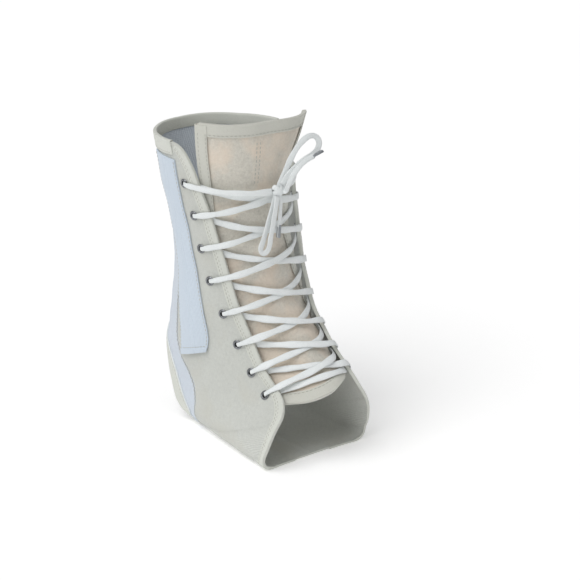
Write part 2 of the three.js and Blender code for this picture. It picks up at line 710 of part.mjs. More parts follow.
function heldLace() {
  const { stops, turnAfter } = laceStops();
  const knotAngle = (sign) => knotPlace.angle + sign * knotSide;
  const start = { station: knotPlace.station, angle: knotAngle(-1) };
  const end = { station: knotPlace.station, angle: knotAngle(1) };
  const points = [];
  const runs = [];
  const levelsAt = (k) => (k <= turnAfter ? [laceOnFlange, laceUnder] : [laceUnder, laceOnFlange]);
  const route = [start, ...stops, end];
  for (let k = 0; k + 1 < route.length; k += 1) {
    const fromLevel = k === 0 ? knotPlace.offset : levelsAt(k - 1)[1];
    const toLevel = k + 2 === route.length ? knotPlace.offset : levelsAt(k)[0];
    const toKnot = k === 0 || k + 2 === route.length;
    const isBar = k === turnAfter + 1;
    const over = k > turnAfter + 1;
    let crossing = [];
    if (!isBar && !toKnot) {
      const swapped = underCrossings.includes(Math.abs(k - turnAfter - 1));
      const offset = over !== swapped ? laceOverLace : laceUnder;
      crossing = [[0.5 - crossingHalf, offset], [0.5 + crossingHalf, offset]];
    }
    runs.push(laceRun(route[k], route[k + 1], fromLevel, toLevel, crossing));
  }
  runs.forEach((run, k) => {
    points.push(...run);
    if (k + 1 < runs.length) {
      const [fromLevel, toLevel] = levelsAt(k);
      points.push(...lacePass(route[k + 1], run[run.length - 1], runs[k + 1][0], fromLevel, toLevel));
    }
  });
  return flatLace(points);
}

const knotCentre = clothPoint(knotPlace.station, knotPlace.angle, 1, knotPlace.offset);

function knot() {
  const geometry = new THREE.SphereGeometry(0.5, 12, 8);
  geometry.scale(knotSize.across, knotSize.deep, knotSize.along);
  geometry.translate(...knotCentre.toArray());
  return geometry;
}

/** A point given from the middle of the knot. */
const fromKnot = (offset) => knotCentre.clone().add(new THREE.Vector3(...offset));

/** A free length of the lace along chosen points from the knot. */
function freeLace(chosen) {
  const points = chosen.map(fromKnot);
  const path = new THREE.CatmullRomCurve3(points, false, 'centripetal');
  const section = new THREE.Shape();
  steps(0, 7, 7).forEach((k) => {
    const angle = ((k + 0.5) / 8) * 2 * Math.PI;
    const corner = [0.54 * laceThick * Math.cos(angle), 0.54 * laceWidth * Math.sin(angle)];
    if (k) section.lineTo(...corner);
    else section.moveTo(...corner);
  });
  return new THREE.ExtrudeGeometry(section, { steps: chosen.length - 1, extrudePath: path });
}

/** The metal tip after the last point of a free length. */
function laceTip(chosen) {
  const [before, last] = chosen.slice(-2).map(fromKnot);
  const along = last.clone().sub(before).normalize();
  const geometry = new THREE.CylinderGeometry(tipRadius, tipRadius, tipLength, 10);
  geometry.applyQuaternion(standOn(along));
  geometry.translate(...last.addScaledVector(along, gap + tipLength / 2).toArray());
  return geometry;
}

for (const which of sides) {
  add(`${which.name}_quarter`, quarter(which), 'canvas');
  add(`${which.name}_front_binding`, frontBinding(which), 'tape');
  add(`${which.name}_top_hem`, hem(which), 'tape');
  add(`${which.name}_heel_elastic`, elastic(which), 'elastic');
  add(`${which.name}_heel_binding`, heelBinding(which), 'tape');
  add(`${which.name}_stay_pocket`, stayPocket(which), 'webbing');
  eyelets.forEach((row, k) => add(`${which.name}_eyelet_${k + 1}`, eyelet(which, row), 'nickel'));
}
add('tongue', tongue(), 'tongue');
add('tongue_top_tape', tongueEndTape((row) => row), 'tape');
add('tongue_lower_tape', tongueEndTape((row) => 1 - row), 'tongueTape');
add('tongue_lateral_tape', tongueSideTape((column) => column), 'tongueTape');
add('tongue_medial_tape', tongueSideTape((column) => 1 - column), 'tongueTape');
add('lace', heldLace(), 'lace');
add('lace_knot', knot(), 'lace');

// The origin is on the floor under the middle of the brace, without the free lengths of the bow.
const bodyBox = new THREE.Box3().setFromObject(brace, true);
const bodyMiddle = bodyBox.getCenter(new THREE.Vector3());
brace.position.set(-bodyMiddle.x, -bodyMiddle.y, -bodyBox.min.z);

add('bow_upper_loop', freeLace(bowUpperLoop), 'lace');
add('bow_upper_end', freeLace(bowUpperEnd), 'lace');
add('bow_lower_loop', freeLace(bowLowerLoop), 'lace');
add('bow_lower_end', freeLace(bowLowerEnd), 'lace');
add('lace_tip_upper', laceTip(bowUpperEnd), 'tip');
add('lace_tip_lower', laceTip(bowLowerEnd), 'tip');

export default brace;
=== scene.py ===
"""Looks of a lace-up canvas ankle brace for the right side, open at the heel.

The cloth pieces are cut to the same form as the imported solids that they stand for: a fan of
sections, in millimetres, with its front towards -Y and the outer (lateral) side at -X.
"""
import logging
import math
from collections.abc import Callable, Sequence
from dataclasses import dataclass
from enum import Enum

import bpy
import numpy as np
from mathutils import Matrix, Vector


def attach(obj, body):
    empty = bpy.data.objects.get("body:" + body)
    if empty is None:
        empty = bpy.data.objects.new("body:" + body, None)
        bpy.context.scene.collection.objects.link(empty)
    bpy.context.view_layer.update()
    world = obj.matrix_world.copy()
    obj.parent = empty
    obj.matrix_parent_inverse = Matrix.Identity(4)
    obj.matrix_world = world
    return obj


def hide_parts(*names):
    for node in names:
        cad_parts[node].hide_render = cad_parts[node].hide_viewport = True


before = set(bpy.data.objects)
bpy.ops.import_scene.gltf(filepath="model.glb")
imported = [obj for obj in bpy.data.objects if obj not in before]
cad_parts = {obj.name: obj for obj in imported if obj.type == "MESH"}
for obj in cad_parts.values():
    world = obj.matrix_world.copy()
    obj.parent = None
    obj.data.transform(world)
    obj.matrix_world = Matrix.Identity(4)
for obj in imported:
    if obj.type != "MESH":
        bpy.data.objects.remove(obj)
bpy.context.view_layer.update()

LOG = logging.getLogger("ankle_brace")
Array = np.ndarray
Sheet = Callable[..., Array]
MM = 0.001
ORIGIN = np.array((1.5864, 19.7931, 0.0886))  # from the form's own frame to the row frame, mm
GAP = 0.3  # between neighbouring pieces, mm
SOLE = 0.0002  # the sole is pressed flat on what it stands on, metres
NEAR = 0.02  # the share across a sheet over which the way across it is measured
STATION_STEP = 0.04  # how far each way a direction on the form is measured, stations
ANGLE_STEP = 1.5  # the same round the form, degrees
LAST_STATION = 14
SEAM_CLEAR = 0.02  # from each half to the seam down the middle, mm
JOINT = 0.1  # from the canvas to the elastic sewn to it, mm
BINDING_WIDTH = 6.0  # of the tape over the quarters' front edges, mm
EYELET_REACH = 3.8  # from that tape to an eyelet's centre, mm
HALF_ROUND = 5.2  # half of the way round the lace, mm
FAR = 99.0  # further than any part of a lace's run is from an eyelet, mm


def table(names: str, rows: Sequence[Sequence[float]]) -> dict[str, Array]:
    """Rows of numbers as named columns."""
    return dict(zip(names.split(), np.array(rows, float).T))


SECTIONS = table(
    "front_y front_z rear_y rear_z lateral medial lean widest square ridge",
    [
        [-0.336, 1.113, 1.098, 1.113, 1.070, 1.070, -0.116, 0.48, 0.00, 0.000],
        [-0.345, 1.000, 1.033, 1.000, 1.047, 1.047, -0.093, 0.48, 0.00, 0.000],
        [-0.357, 0.868, 0.943, 0.858, 1.012, 1.012, -0.058, 0.48, 0.00, 0.000],
        [-0.378, 0.741, 0.820, 0.708, 0.988, 1.000, -0.023, 0.48, 0.00, 0.000],
        [-0.412, 0.627, 0.779, 0.561, 0.988, 1.000, 0.000, 0.50, 0.00, 0.023],
        [-0.466, 0.533, 0.844, 0.429, 1.000, 1.023, 0.000, 0.52, 0.00, 0.070],
        [-0.534, 0.467, 0.934, 0.316, 0.988, 1.012, 0.000, 0.54, 0.00, 0.116],
        [-0.605, 0.420, 1.000, 0.208, 0.953, 0.988, 0.000, 0.56, 0.05, 0.186],
        [-0.672, 0.382, 1.000, 0.104, 0.930, 0.977, 0.000, 0.58, 0.10, 0.233],
        [-0.735, 0.349, 0.820, 0.009, 0.919, 0.977, 0.000, 0.60, 0.20, 0.256],
        [-0.794, 0.318, 0.426, -0.007, 0.930, 0.977, 0.000, 0.63, 0.30, 0.279],
        [-0.849, 0.292, -0.034, -0.007, 0.953, 0.988, 0.000, 0.68, 0.40, 0.279],
        [-0.899, 0.269, -0.303, -0.007, 1.000, 1.012, 0.000, 0.72, 0.45, 0.256],
        [-0.950, 0.250, -0.555, -0.007, 1.035, 1.058, 0.000, 0.74, 0.50, 0.233],
        [-1.000, 0.231, -0.773, -0.007, 1.058, 1.093, 0.000, 0.75, 0.50, 0.209],
    ],
)
QUARTER_RIBS = table(
    "front lateral medial rear rear_angle",
    [
        [0.88, 90.0, 84.0, 1.00, 124.0], [0.94, 83.0, 74.0, 1.35, 122.0],
        [1.12, 76.5, 66.0, 1.75, 119.0], [1.46, 70.5, 59.0, 2.20, 115.0],
        [1.90, 66.5, 53.0, 2.65, 111.0], [2.40, 62.0, 48.5, 3.10, 108.0],
        [3.00, 58.0, 45.5, 3.60, 105.5], [3.60, 54.0, 43.5, 4.20, 104.0],
        [4.30, 50.0, 41.0, 4.80, 104.0], [5.15, 47.0, 37.5, 5.50, 104.0],
        [6.00, 45.5, 34.0, 6.20, 104.0], [6.90, 45.5, 30.5, 6.85, 102.0],
        [7.80, 46.0, 27.0, 7.40, 98.0], [8.70, 46.0, 25.0, 7.95, 92.5],
        [9.60, 46.0, 25.0, 8.50, 90.0], [10.40, 46.0, 26.0, 9.00, 91.0],
        [11.00, 46.5, 28.0, 9.50, 95.0], [11.50, 48.0, 32.0, 9.90, 102.0],
        [12.00, 50.5, 38.0, 10.25, 111.0], [12.45, 55.5, 46.0, 10.55, 119.0],
        [12.90, 65.0, 57.0, 10.78, 129.0], [13.25, 76.0, 70.0, 10.88, 141.0],
        [13.50, 90.0, 86.0, 10.90, 152.0], [13.68, 112.0, 110.0, 10.90, 162.0],
        [13.75, 140.0, 140.0, 10.90, 171.0], [13.75, 163.0, 163.0, 10.90, 177.0],
        [13.75, 180.0, 180.0, 10.90, 180.0],
    ],
)
ELASTIC_REAR = table(
    "station angle",
    [
        [1.05, 180.0], [1.40, 180.0], [1.80, 180.0], [2.25, 180.0], [2.70, 180.0], [3.15, 180.0],
        [3.65, 180.0], [4.20, 180.0], [4.80, 180.0], [5.40, 180.0], [5.82, 174.0], [6.15, 158.0],
        [6.50, 142.0], [7.00, 130.5], [7.65, 121.5], [8.30, 117.0], [8.90, 117.0], [9.40, 120.5],
        [9.85, 128.0], [10.20, 138.0], [10.45, 148.0],
    ],
)
POCKET_EDGES = table(
    "station front rear",
    [
        [1.42, 88.5, 121.0], [1.80, 88.0, 120.5], [2.50, 87.0, 117.0], [3.30, 84.0, 111.0],
        [4.20, 78.5, 104.5], [5.15, 74.5, 101.0], [6.10, 72.5, 98.0], [6.75, 73.0, 97.0],
        [7.30, 75.5, 97.0],
    ],
)
TONGUE_EDGES = table(
    "station lateral medial flare",
    [
        [0.22, 64.0, 52.0, 15.0], [0.80, 65.5, 48.5, 10.5], [1.30, 66.5, 44.5, 5.5],
        [1.75, 67.0, 39.0, 1.2], [2.15, 67.5, 35.0, 0.0], [2.70, 69.0, 31.0, 0.0],
        [3.20, 70.0, 30.0, 0.0], [3.70, 71.0, 31.0, 0.0], [4.40, 71.5, 34.0, 0.0],
        [5.40, 71.0, 40.0, 0.0], [6.60, 70.0, 44.0, 0.0], [8.00, 68.0, 43.0, 0.0],
        [9.40, 66.0, 42.0, 0.0], [10.60, 64.0, 41.0, 0.0],
    ],
)
TONGUE_TIP = np.array(
    [10.60, 11.00, 11.38, 11.72, 11.86, 11.80, 11.50, 11.10, 10.75, 10.50, 10.30]
)
EYELETS = table(
    "rib setback",
    [
        [3.45, 0.40], [5.00, 0.75], [6.43, 1.15], [7.90, 1.15],
        [9.42, 0.55], [11.30, 0.35], [13.25, 0.10], [15.50, 0.10],
    ],
)
# The bow's free lengths from the middle of the knot, chosen points in millimetres.
BOW_UPPER_LOOP = [
    [0.5, -0.3, 1.2],
    [2.3, -0.7, 5.3], [4.7, -1.4, 11.4], [7.4, -2.0, 17.0], [10.0, -2.6, 22.2], [13.7, -3.0, 27.5],
    [18.5, -3.2, 32.0], [23.7, -3.4, 34.7], [28.5, -3.6, 34.7], [31.6, -4.2, 32.4], [32.6, -5.0, 28.9],
    [30.5, -5.6, 25.0], [25.7, -6.0, 22.3], [19.9, -6.0, 20.1], [13.9, -5.6, 17.4], [8.8, -4.8, 13.7],
    [5.2, -3.6, 9.3], [2.8, -2.0, 4.2],
]
BOW_UPPER_END = [
    [0.0, 0.0, 0.0], [3.5, -4.2, -0.3], [3.7, -7.4, 5.1], [6.1, -8.8, 11.4],
    [9.9, -9.6, 16.0], [14.2, -9.8, 19.2], [19.2, -9.8, 21.4], [22.7, -9.8, 22.3],
]
BOW_LOWER_LOOP = [
    [-0.5, -0.4, -1.2],
    [-2.9, -1.4, -4.6], [-5.6, -2.4, -8.9], [-7.7, -3.0, -13.1], [-9.8, -3.4, -18.5],
    [-11.9, -3.6, -24.0], [-14.2, -3.8, -29.4], [-16.5, -4.2, -34.1], [-18.5, -4.9, -37.0],
    [-18.0, -5.8, -40.2], [-14.6, -6.6, -40.0], [-12.2, -6.9, -35.6], [-11.1, -6.9, -29.2],
    [-9.4, -6.6, -23.7], [-7.9, -6.2, -17.8], [-6.0, -5.4, -12.0], [-4.5, -4.6, -7.0],
    [-2.5, -2.9, -3.3],
]
BOW_LOWER_END = [
    [0.0, 0.0, 0.0], [1.4, -1.2, -5.5], [0.8, -2.6, -10.7], [0.2, -3.0, -15.0],
    [-0.4, -3.2, -19.3], [-1.0, -3.4, -23.6],
]


def smooth(column: Array, place: Array | float) -> Array:
    """A column of a table at places between its rows, on a smooth curve.

    Args:
        column: its values.
        place: row numbers, whole or between.

    Returns:
        The values there.
    """
    last = len(column) - 1
    place = np.asarray(place, float)
    at = np.clip(np.floor(place), 0, last - 1).astype(int)
    part = place - at
    a, b, c, d = (column[np.clip(at + k, 0, last)] for k in (-1, 0, 1, 2))
    slope_in = np.where(at == 0, c - b, (c - a) / 2)
    slope_out = np.where(at == last - 1, c - b, (d - b) / 2)
    square, cube = part**2, part**3
    return (
        (2 * cube - 3 * square + 1) * b + (cube - 2 * square + part) * slope_in
        + (3 * square - 2 * cube) * c + (cube - square) * slope_out
    )


def by_station(
    rows: dict[str, Array], name: str, station: Array | float, column: str = "station",
) -> Array:
    """A column of a table at stations, which another of its columns holds.

    Args:
        rows: the table.
        name: the column that is read.
        station: the stations.
        column: the column that holds the stations.

    Returns:
        The values there.
    """
    known = rows[column]
    k = np.clip(np.searchsorted(known, station) - 1, 0, len(known) - 2)
    part = (station - known[k]) / (known[k + 1] - known[k])
    return smooth(rows[name], k + np.clip(part, 0, 1))


def lerp(a: Array | float, b: Array | float, share: Array | float) -> Array:
    """A share of the way from a to b."""
    return a + (b - a) * share


def ease(value: Array | float, low: float, high: float) -> Array:
    """A smooth step from 0 at low to 1 at high."""
    part = np.clip((np.asarray(value, float) - low) / (high - low), 0, 1)
    return part * part * (3 - 2 * part)


def unit(vectors: Array) -> Array:
    """Vectors at length one."""
    return vectors / np.maximum(np.linalg.norm(vectors, axis=-1, keepdims=True), 1e-12)


class Side(Enum):
    """The outer and the inner half of the brace, and the sign of X on each."""

    LATERAL = -1
    MEDIAL = 1

    @property
    def word(self) -> str:
        """The side's name in the names of its pieces."""
        return self.name.lower()


@dataclass(frozen=True)
class Form:
    """The form that the cloth is cut to, in millimetres."""

    brace_height: float = 212.0
    foot_reach: float = 119.0
    heel_reach: float = 61.0
    ankle_width: float = 86.0
    ripple: float = 0.22
    ripple_rates: tuple[float, ...] = (0.21, 0.13, 0.17, 0.09)  # radians per mm

    def point(self, station: Array | float, angle: Array | float, side: Array | float) -> Array:
        """Points of the form.

        Args:
            station: place in the fan of sections.
            angle: degrees from the front (0) to the back (180).
            side: -1 on the outer and 1 on the inner half.

        Returns:
            Points in millimetres, in the form's own frame.
        """
        station, angle, side = np.broadcast_arrays(*(np.asarray(v, float) for v in (station, angle, side)))
        turned = (angle < 0) | (angle > 180)
        turn = np.radians(np.where(angle > 180, 360 - angle, np.abs(angle)))
        on_side = np.where(turned, -side, side)
        s = {name: smooth(column, station) for name, column in SECTIONS.items()}
        half = self.ankle_width / 2
        power = np.where(np.abs(angle) > 90, 1 - s["square"], 1.0)
        cosine = np.abs(np.cos(turn)) ** power
        sine = np.abs(np.sin(turn)) ** power
        in_front = turn <= math.pi / 2
        along = np.where(in_front, s["widest"] * (1 - cosine), s["widest"] + (1 - s["widest"]) * cosine)
        front_y, rear_y = (
            share * np.where(share > 0, self.heel_reach, self.foot_reach)
            for share in (s["front_y"], s["rear_y"])
        )
        ridge = np.where(in_front, half * s["ridge"] * np.cos(turn) ** 2, 0.0)
        across = half * np.where(on_side < 0, s["lateral"], s["medial"]) * sine
        x = half * s["lean"] + ridge + on_side * across
        z = np.maximum(self.brace_height * lerp(s["front_z"], s["rear_z"], along), 0)
        return np.stack([x, lerp(front_y, rear_y, along), z], axis=-1)

    def directions(self, station: Array, angle: Array, side: Array | float) -> tuple[Array, Array, Array]:
        """Directions along the stations, along the angles, and outwards.

        Args:
            station: as for point.
            angle: as for point.
            side: as for point.

        Returns:
            Three arrays of vectors, the last of length one.
        """
        station, angle = np.broadcast_arrays(np.asarray(station, float), np.asarray(angle, float))
        low = np.maximum(station - STATION_STEP, 0)
        high = np.minimum(station + STATION_STEP, LAST_STATION)
        back, ahead = np.minimum(angle + ANGLE_STEP, 180), np.maximum(angle - ANGLE_STEP, -180)
        down = (self.point(high, angle, side) - self.point(low, angle, side)) / (high - low)[..., None]
        round_it = self.point(station, back, side) - self.point(station, ahead, side)
        round_it = round_it / (back - ahead)[..., None]
        sign = np.asarray(side, float)[..., None] if np.ndim(side) else side
        return down, round_it, unit(np.cross(down, round_it) * sign)

    def cloth(self, station: Array, angle: Array, side: Array | float, offset: Array | float) -> Array:
        """Points at an offset from the form, with the slight unevenness of soft cloth.

        Args:
            station: as for point.
            angle: as for point.
            side: as for point.
            offset: millimetres outwards.

        Returns:
            Points in millimetres.
        """
        out = self.directions(station, angle, side)[2]
        base = self.point(station, angle, side)
        x, y, z = (base[..., k] for k in range(3))
        a, b, c, d = self.ripple_rates
        wave = np.sin(z * a + x * b) * np.sin(y * c - z * d)
        lift = np.asarray(offset, float) + self.ripple * wave
        return base + out * lift[..., None]


FORM = Form()


def beside_seam(points: Array, station: Array, side: Side) -> Array:
    """Keeps points on their own side of the seam down the middle.

    Args:
        points: points in millimetres, which are changed.
        station: their stations.
        side: the half that they belong to.

    Returns:
        The same points.
    """
    middle = FORM.ankle_width / 2 * smooth(SECTIONS["lean"], station)
    x = np.maximum(side.value * (points[..., 0] - middle), SEAM_CLEAR)
    points[..., 0] = middle + side.value * x
    return points


def quarter_place(side: Side, rib: Array, share: Array) -> tuple[Array, Array]:
    """Station and angle on a quarter, from its rib and its share from the front to the rear edge.

    Args:
        side: the half that it belongs to.
        rib: place down the quarter.
        share: from the front (0) to the rear edge (1).

    Returns:
        The station and the angle.
    """
    front, angle, rear, rear_angle = (
        smooth(QUARTER_RIBS[name], rib) for name in ("front", side.word, "rear", "rear_angle")
    )
    return lerp(front, rear, share), lerp(angle, rear_angle, share)


def quarter_sheet(side: Side) -> Sheet:
    """A quarter as a sheet.

    Args:
        side: the half that it belongs to.

    Returns:
        A function of rib, share and offset.
    """

    def sheet(rib: Array, share: Array, offset: Array | float) -> Array:
        """Points at a rib, a share from the front edge and an offset."""
        station, angle = quarter_place(side, rib, share)
        return beside_seam(FORM.cloth(station, angle, side.value, offset), station, side)

    return sheet


def elastic_sheet(side: Side) -> Sheet:
    """The elastic behind a quarter as a sheet.

    Args:
        side: the half that it belongs to.

    Returns:
        A function of rib, share and offset.
    """

    def sheet(rib: Array, share: Array, offset: Array | float) -> Array:
        """Points at a rib, a share from the quarter's rear edge and an offset.

        Args:
            rib: place down the quarter.
            share: from the quarter's edge (0) to the back (1).
            offset: millimetres outwards.

        Returns:
            Points in millimetres.
        """
        edge, near = quarter_place(side, rib, 1.0), quarter_place(side, rib, 1 - NEAR)
        gap = np.linalg.norm(FORM.point(*edge, side.value) - FORM.point(*near, side.value), axis=-1)
        start = quarter_place(side, rib, 1 + JOINT * NEAR / gap)
        station = lerp(start[0], smooth(ELASTIC_REAR["station"], rib), share)
        angle = lerp(start[1], smooth(ELASTIC_REAR["angle"], rib), share)
        return beside_seam(FORM.cloth(station, angle, side.value, offset), station, side)

    return sheet


def hem_sheet(side: Side) -> Sheet:
    """The band under the hem as a sheet.

    Args:
        side: the half that it belongs to.

    Returns:
        A function of share along, stations down and offset.
    """
    first = float(QUARTER_RIBS[side.word][0])
    front, rear, rear_angle = (float(QUARTER_RIBS[name][0]) for name in ("front", "rear", "rear_angle"))

    def sheet(share: Array, down: Array, offset: Array | float) -> Array:
        """Points at a share along the hem, stations down from it and an offset.

        Args:
            share: from the front (0) to the back (1).
            down: stations under the hem.
            offset: millimetres outwards.

        Returns:
            Points in millimetres.
        """
        angle = lerp(first, 180.0, share)
        on_quarter = np.minimum((angle - first) / (rear_angle - first), 1)
        on_elastic = np.maximum((angle - rear_angle) / (180 - rear_angle), 0)
        top = lerp(front, rear, on_quarter) + (ELASTIC_REAR["station"][0] - rear) * on_elastic
        return beside_seam(FORM.cloth(top + down, angle, side.value, offset), top + down, side)

    return sheet


def pocket_sheet(side: Side) -> Sheet:
    """The stay's webbing pocket as a sheet.

    Args:
        side: the half that it belongs to.

    Returns:
        A function of station, share and offset.
    """

    def sheet(station: Array, share: Array, offset: Array | float) -> Array:
        """Points at a station, a share across the pocket and an offset."""
        front, rear = (by_station(POCKET_EDGES, name, station) for name in ("front", "rear"))
        return FORM.cloth(station, lerp(front, rear, share), side.value, offset)

    return sheet


@dataclass(frozen=True)
class TongueShape:
    """How the tongue lies under the lacing, in millimetres from the canvas face."""

    face: float = -4.75
    buckle: float = 0.9
    softness: float = 0.35
    droop: float = 0.15
    tip_power: int = 6

    def sheet(self, station: Array, share: Array, offset: Array | float) -> Array:
        """Points of the tongue from a station and a share from its outer to its inner edge.

        Args:
            station: place in the fan of sections.
            share: from the outer (0) to the inner edge (1).
            offset: millimetres outwards.

        Returns:
            Points in millimetres.
        """
        lateral, medial = (by_station(TONGUE_EDGES, name, station) for name in ("lateral", "medial"))
        angle = lerp(-lateral, medial, share)
        out = FORM.directions(station, angle, 1.0)[2]
        flare = by_station(TONGUE_EDGES, "flare", station) * ease(share, 0.55, 1)
        wavy = self.buckle * ease(share, 0.5, 1) * ease(station, 1.9, 2.8) * (1 - ease(station, 8.0, 9.5))
        wave = wavy * (np.sin(station * 5.2 + 1.1) * 0.6 - 0.6)
        soft = self.softness * np.sin(station * 3.1 + share * 9) * np.sin(share * 7 - station * 1.3)
        soft = soft * ease(share, 0.1, 0.3) * (1 - ease(share, 0.8, 0.95))
        lift = self.face + offset + flare + wave + soft
        points = FORM.point(station, angle, 1.0) + out * lift[..., None]
        points[..., 2] -= self.droop * flare
        return points

    def by_length(self, down: Array, across: Array, offset: Array | float) -> Array:
        """Points of the tongue from a share of its length, down to its rounded lower edge.

        Args:
            down: share of the length.
            across: share across.
            offset: millimetres outwards.

        Returns:
            Points in millimetres.
        """
        top, shoulder = TONGUE_EDGES["station"][0], TONGUE_EDGES["station"][-1]
        tip = smooth(TONGUE_TIP, across * (len(TONGUE_TIP) - 1))
        station = lerp(top, shoulder, down) + (tip - shoulder) * down**self.tip_power
        return self.sheet(station, across, offset)


TONGUE = TongueShape()


def eyelet_place(side: Side, k: int) -> tuple[float, float]:
    """Station and angle of an eyelet, behind the front binding on its rib.

    Args:
        side: the half that it belongs to.
        k: its number down the row, from 0.

    Returns:
        The station and the angle.
    """
    rib, setback = EYELETS["rib"][k], EYELETS["setback"][k]
    edge, near = quarter_place(side, rib, 0.0), quarter_place(side, rib, NEAR)
    length = np.linalg.norm(FORM.point(*edge, side.value) - FORM.point(*near, side.value))
    behind = BINDING_WIDTH + GAP + (1 + setback) * EYELET_REACH
    station, angle = quarter_place(side, rib, NEAR * behind / length)
    return float(station), float(angle)


def clear_selection() -> None:
    """Leaves nothing selected, in object mode."""
    if bpy.context.object and bpy.context.object.mode != "OBJECT":
        bpy.ops.object.mode_set(mode="OBJECT")
    bpy.ops.object.select_all(action="DESELECT")


def make_active(piece: bpy.types.Object) -> None:
    """Makes one piece the only one selected.

    Args:
        piece: the piece.
    """
    clear_selection()
    piece.select_set(True)
    bpy.context.view_layer.objects.active = piece


def apply_modifier(piece: bpy.types.Object, kind: str, **settings: object) -> None:
    """Adds a modifier with its settings and applies it.

    Args:
        piece: the piece.
        kind: Blender's word for the modifier.
        settings: its settings.
    """
    make_active(piece)
    modifier = piece.modifiers.new(kind.lower(), kind)
    for name, value in settings.items():
        setattr(modifier, name, value)
    bpy.ops.object.modifier_apply(modifier=modifier.name)


def to_scene(points: Array) -> Array:
    """Points from the form's frame in millimetres to the row frame in metres."""
    return (np.asarray(points, float) + ORIGIN) * MM


def run_lengths(points: Array) -> Array:
    """Distance along a chain of points from its first."""
    steps = np.linalg.norm(np.diff(points, axis=0), axis=-1)
    return np.concatenate([np.zeros((1,) + steps.shape[1:]), np.cumsum(steps, axis=0)])


def grid_piece(name: str, points: Array, out: Array) -> bpy.types.Object:
    """A sheet of one layer whose faces look along out.

    Args:
        name: the piece's name.
        points: rows by columns of points in millimetres, in the form's frame.
        out: a direction at each of them that points outwards.

    Returns:
        The piece, with a UV map in metres of cloth.
    """
    rows, columns = points.shape[:2]
    clear_selection()
    bpy.ops.mesh.primitive_grid_add(x_subdivisions=columns - 1, y_subdivisions=rows - 1, size=1.0)
    piece = bpy.context.object
    piece.name = name
    mesh = piece.data
    mesh.name = name
    flat = np.empty(len(mesh.vertices) * 3)
    mesh.vertices.foreach_get("co", flat)
    flat = flat.reshape(-1, 3)
    column = np.rint((flat[:, 0] + 0.5) * (columns - 1)).astype(int)
    row = np.rint((flat[:, 1] + 0.5) * (rows - 1)).astype(int)
    mesh.vertices.foreach_set("co", to_scene(points[row, column]).ravel())
    across = run_lengths(np.moveaxis(points, 1, 0)).T
    along = run_lengths(points)[:, columns // 2]
    corners = np.empty(len(mesh.loops), int)
    mesh.loops.foreach_get("vertex_index", corners)
    uv = np.stack([across[row, column], along[row]], axis=-1)[corners] * MM
    mesh.uv_layers.active.data.foreach_set("uv", uv.ravel())
    mesh.update()
    middle = mesh.polygons[len(mesh.polygons) // 2]
    at = middle.vertices[0]
    if np.dot(np.array(middle.normal), out[row[at], column[at]]) < 0:
        mesh.flip_normals()
    return piece


def cloth_piece(
    name: str, sheet: Sheet, along: Array, across: Array, face: Array | float | Callable, thick: float,
    edge: float = 0.3, holes: Sequence[tuple[Array, Array]] = (), hole_radius: float = 2.5,
) -> bpy.types.Object:
    """A wall of cloth on a sheet, its edges rounded.

    Args:
        name: the piece's name.
        sheet: gives a point for a place along, a place across and an offset.
        along: places along the sheet.
        across: places across it.
        face: offset of the outer face, or a function that gives it.
        thick: thickness in millimetres, inwards from the face.
        edge: radius of the rounding along the rim.
        holes: centres and axes of the holes punched through it.
        hole_radius: their radius.

    Returns:
        The piece.
    """
    u, v = np.meshgrid(along, across, indexing="ij")
    offset = face(u, v) if callable(face) else np.full(u.shape, float(face))
    points = sheet(u, v, offset)
    piece = grid_piece(name, points, sheet(u, v, offset + 1) - points)
    if holes:
        punch(piece, holes, hole_radius)
    apply_modifier(piece, "SOLIDIFY", thickness=thick * MM, offset=-1.0)
    apply_modifier(
        piece, "BEVEL", width=edge * MM, segments=2, limit_method="ANGLE", angle_limit=math.radians(50)
    )
    piece.data.shade_smooth()
    return piece


def punch(piece: bpy.types.Object, holes: Sequence[tuple[Array, Array]], radius: float) -> None:
    """Cuts round holes in a sheet: the nearest points go onto each circle, and the faces inside go.

    Args:
        piece: the sheet, of one layer.
        holes: their centres and axes.
        radius: in millimetres.
    """
    mesh = piece.data
    flat = np.empty(len(mesh.vertices) * 3)
    mesh.vertices.foreach_get("co", flat)
    flat = flat.reshape(-1, 3)
    inside = np.zeros(len(flat), bool)
    for centre, axis in holes:
        away = flat - to_scene(centre)
        away -= np.outer(away @ axis, axis)
        distance = np.linalg.norm(away, axis=1) / MM
        # Points this far within and beyond the circle go onto it, and 8 mm takes in one hole alone.
        inner, outer = radius - 0.45, radius + 0.55
        near = np.abs(flat - to_scene(centre)).max(axis=1) < 8 * MM
        ring = near & (distance > inner) & (distance < outer)
        flat[ring] += away[ring] * (radius / distance[ring] - 1)[:, None]
        inside |= near & (distance < outer)
    mesh.vertices.foreach_set("co", flat.ravel())
    make_active(piece)
    gone = [all(inside[i] for i in face.vertices) for face in mesh.polygons]
    mesh.polygons.foreach_set("select", gone)
    mesh.edges.foreach_set("select", [False] * len(mesh.edges))
    mesh.vertices.foreach_set("select", [False] * len(mesh.vertices))
    bpy.ops.object.mode_set(mode="EDIT")
    bpy.ops.mesh.select_mode(type="FACE")
    bpy.ops.object.mode_set(mode="OBJECT")
    mesh.polygons.foreach_set("select", gone)
    bpy.ops.object.mode_set(mode="EDIT")
    bpy.ops.mesh.delete(type="FACE")
    bpy.ops.object.mode_set(mode="OBJECT")


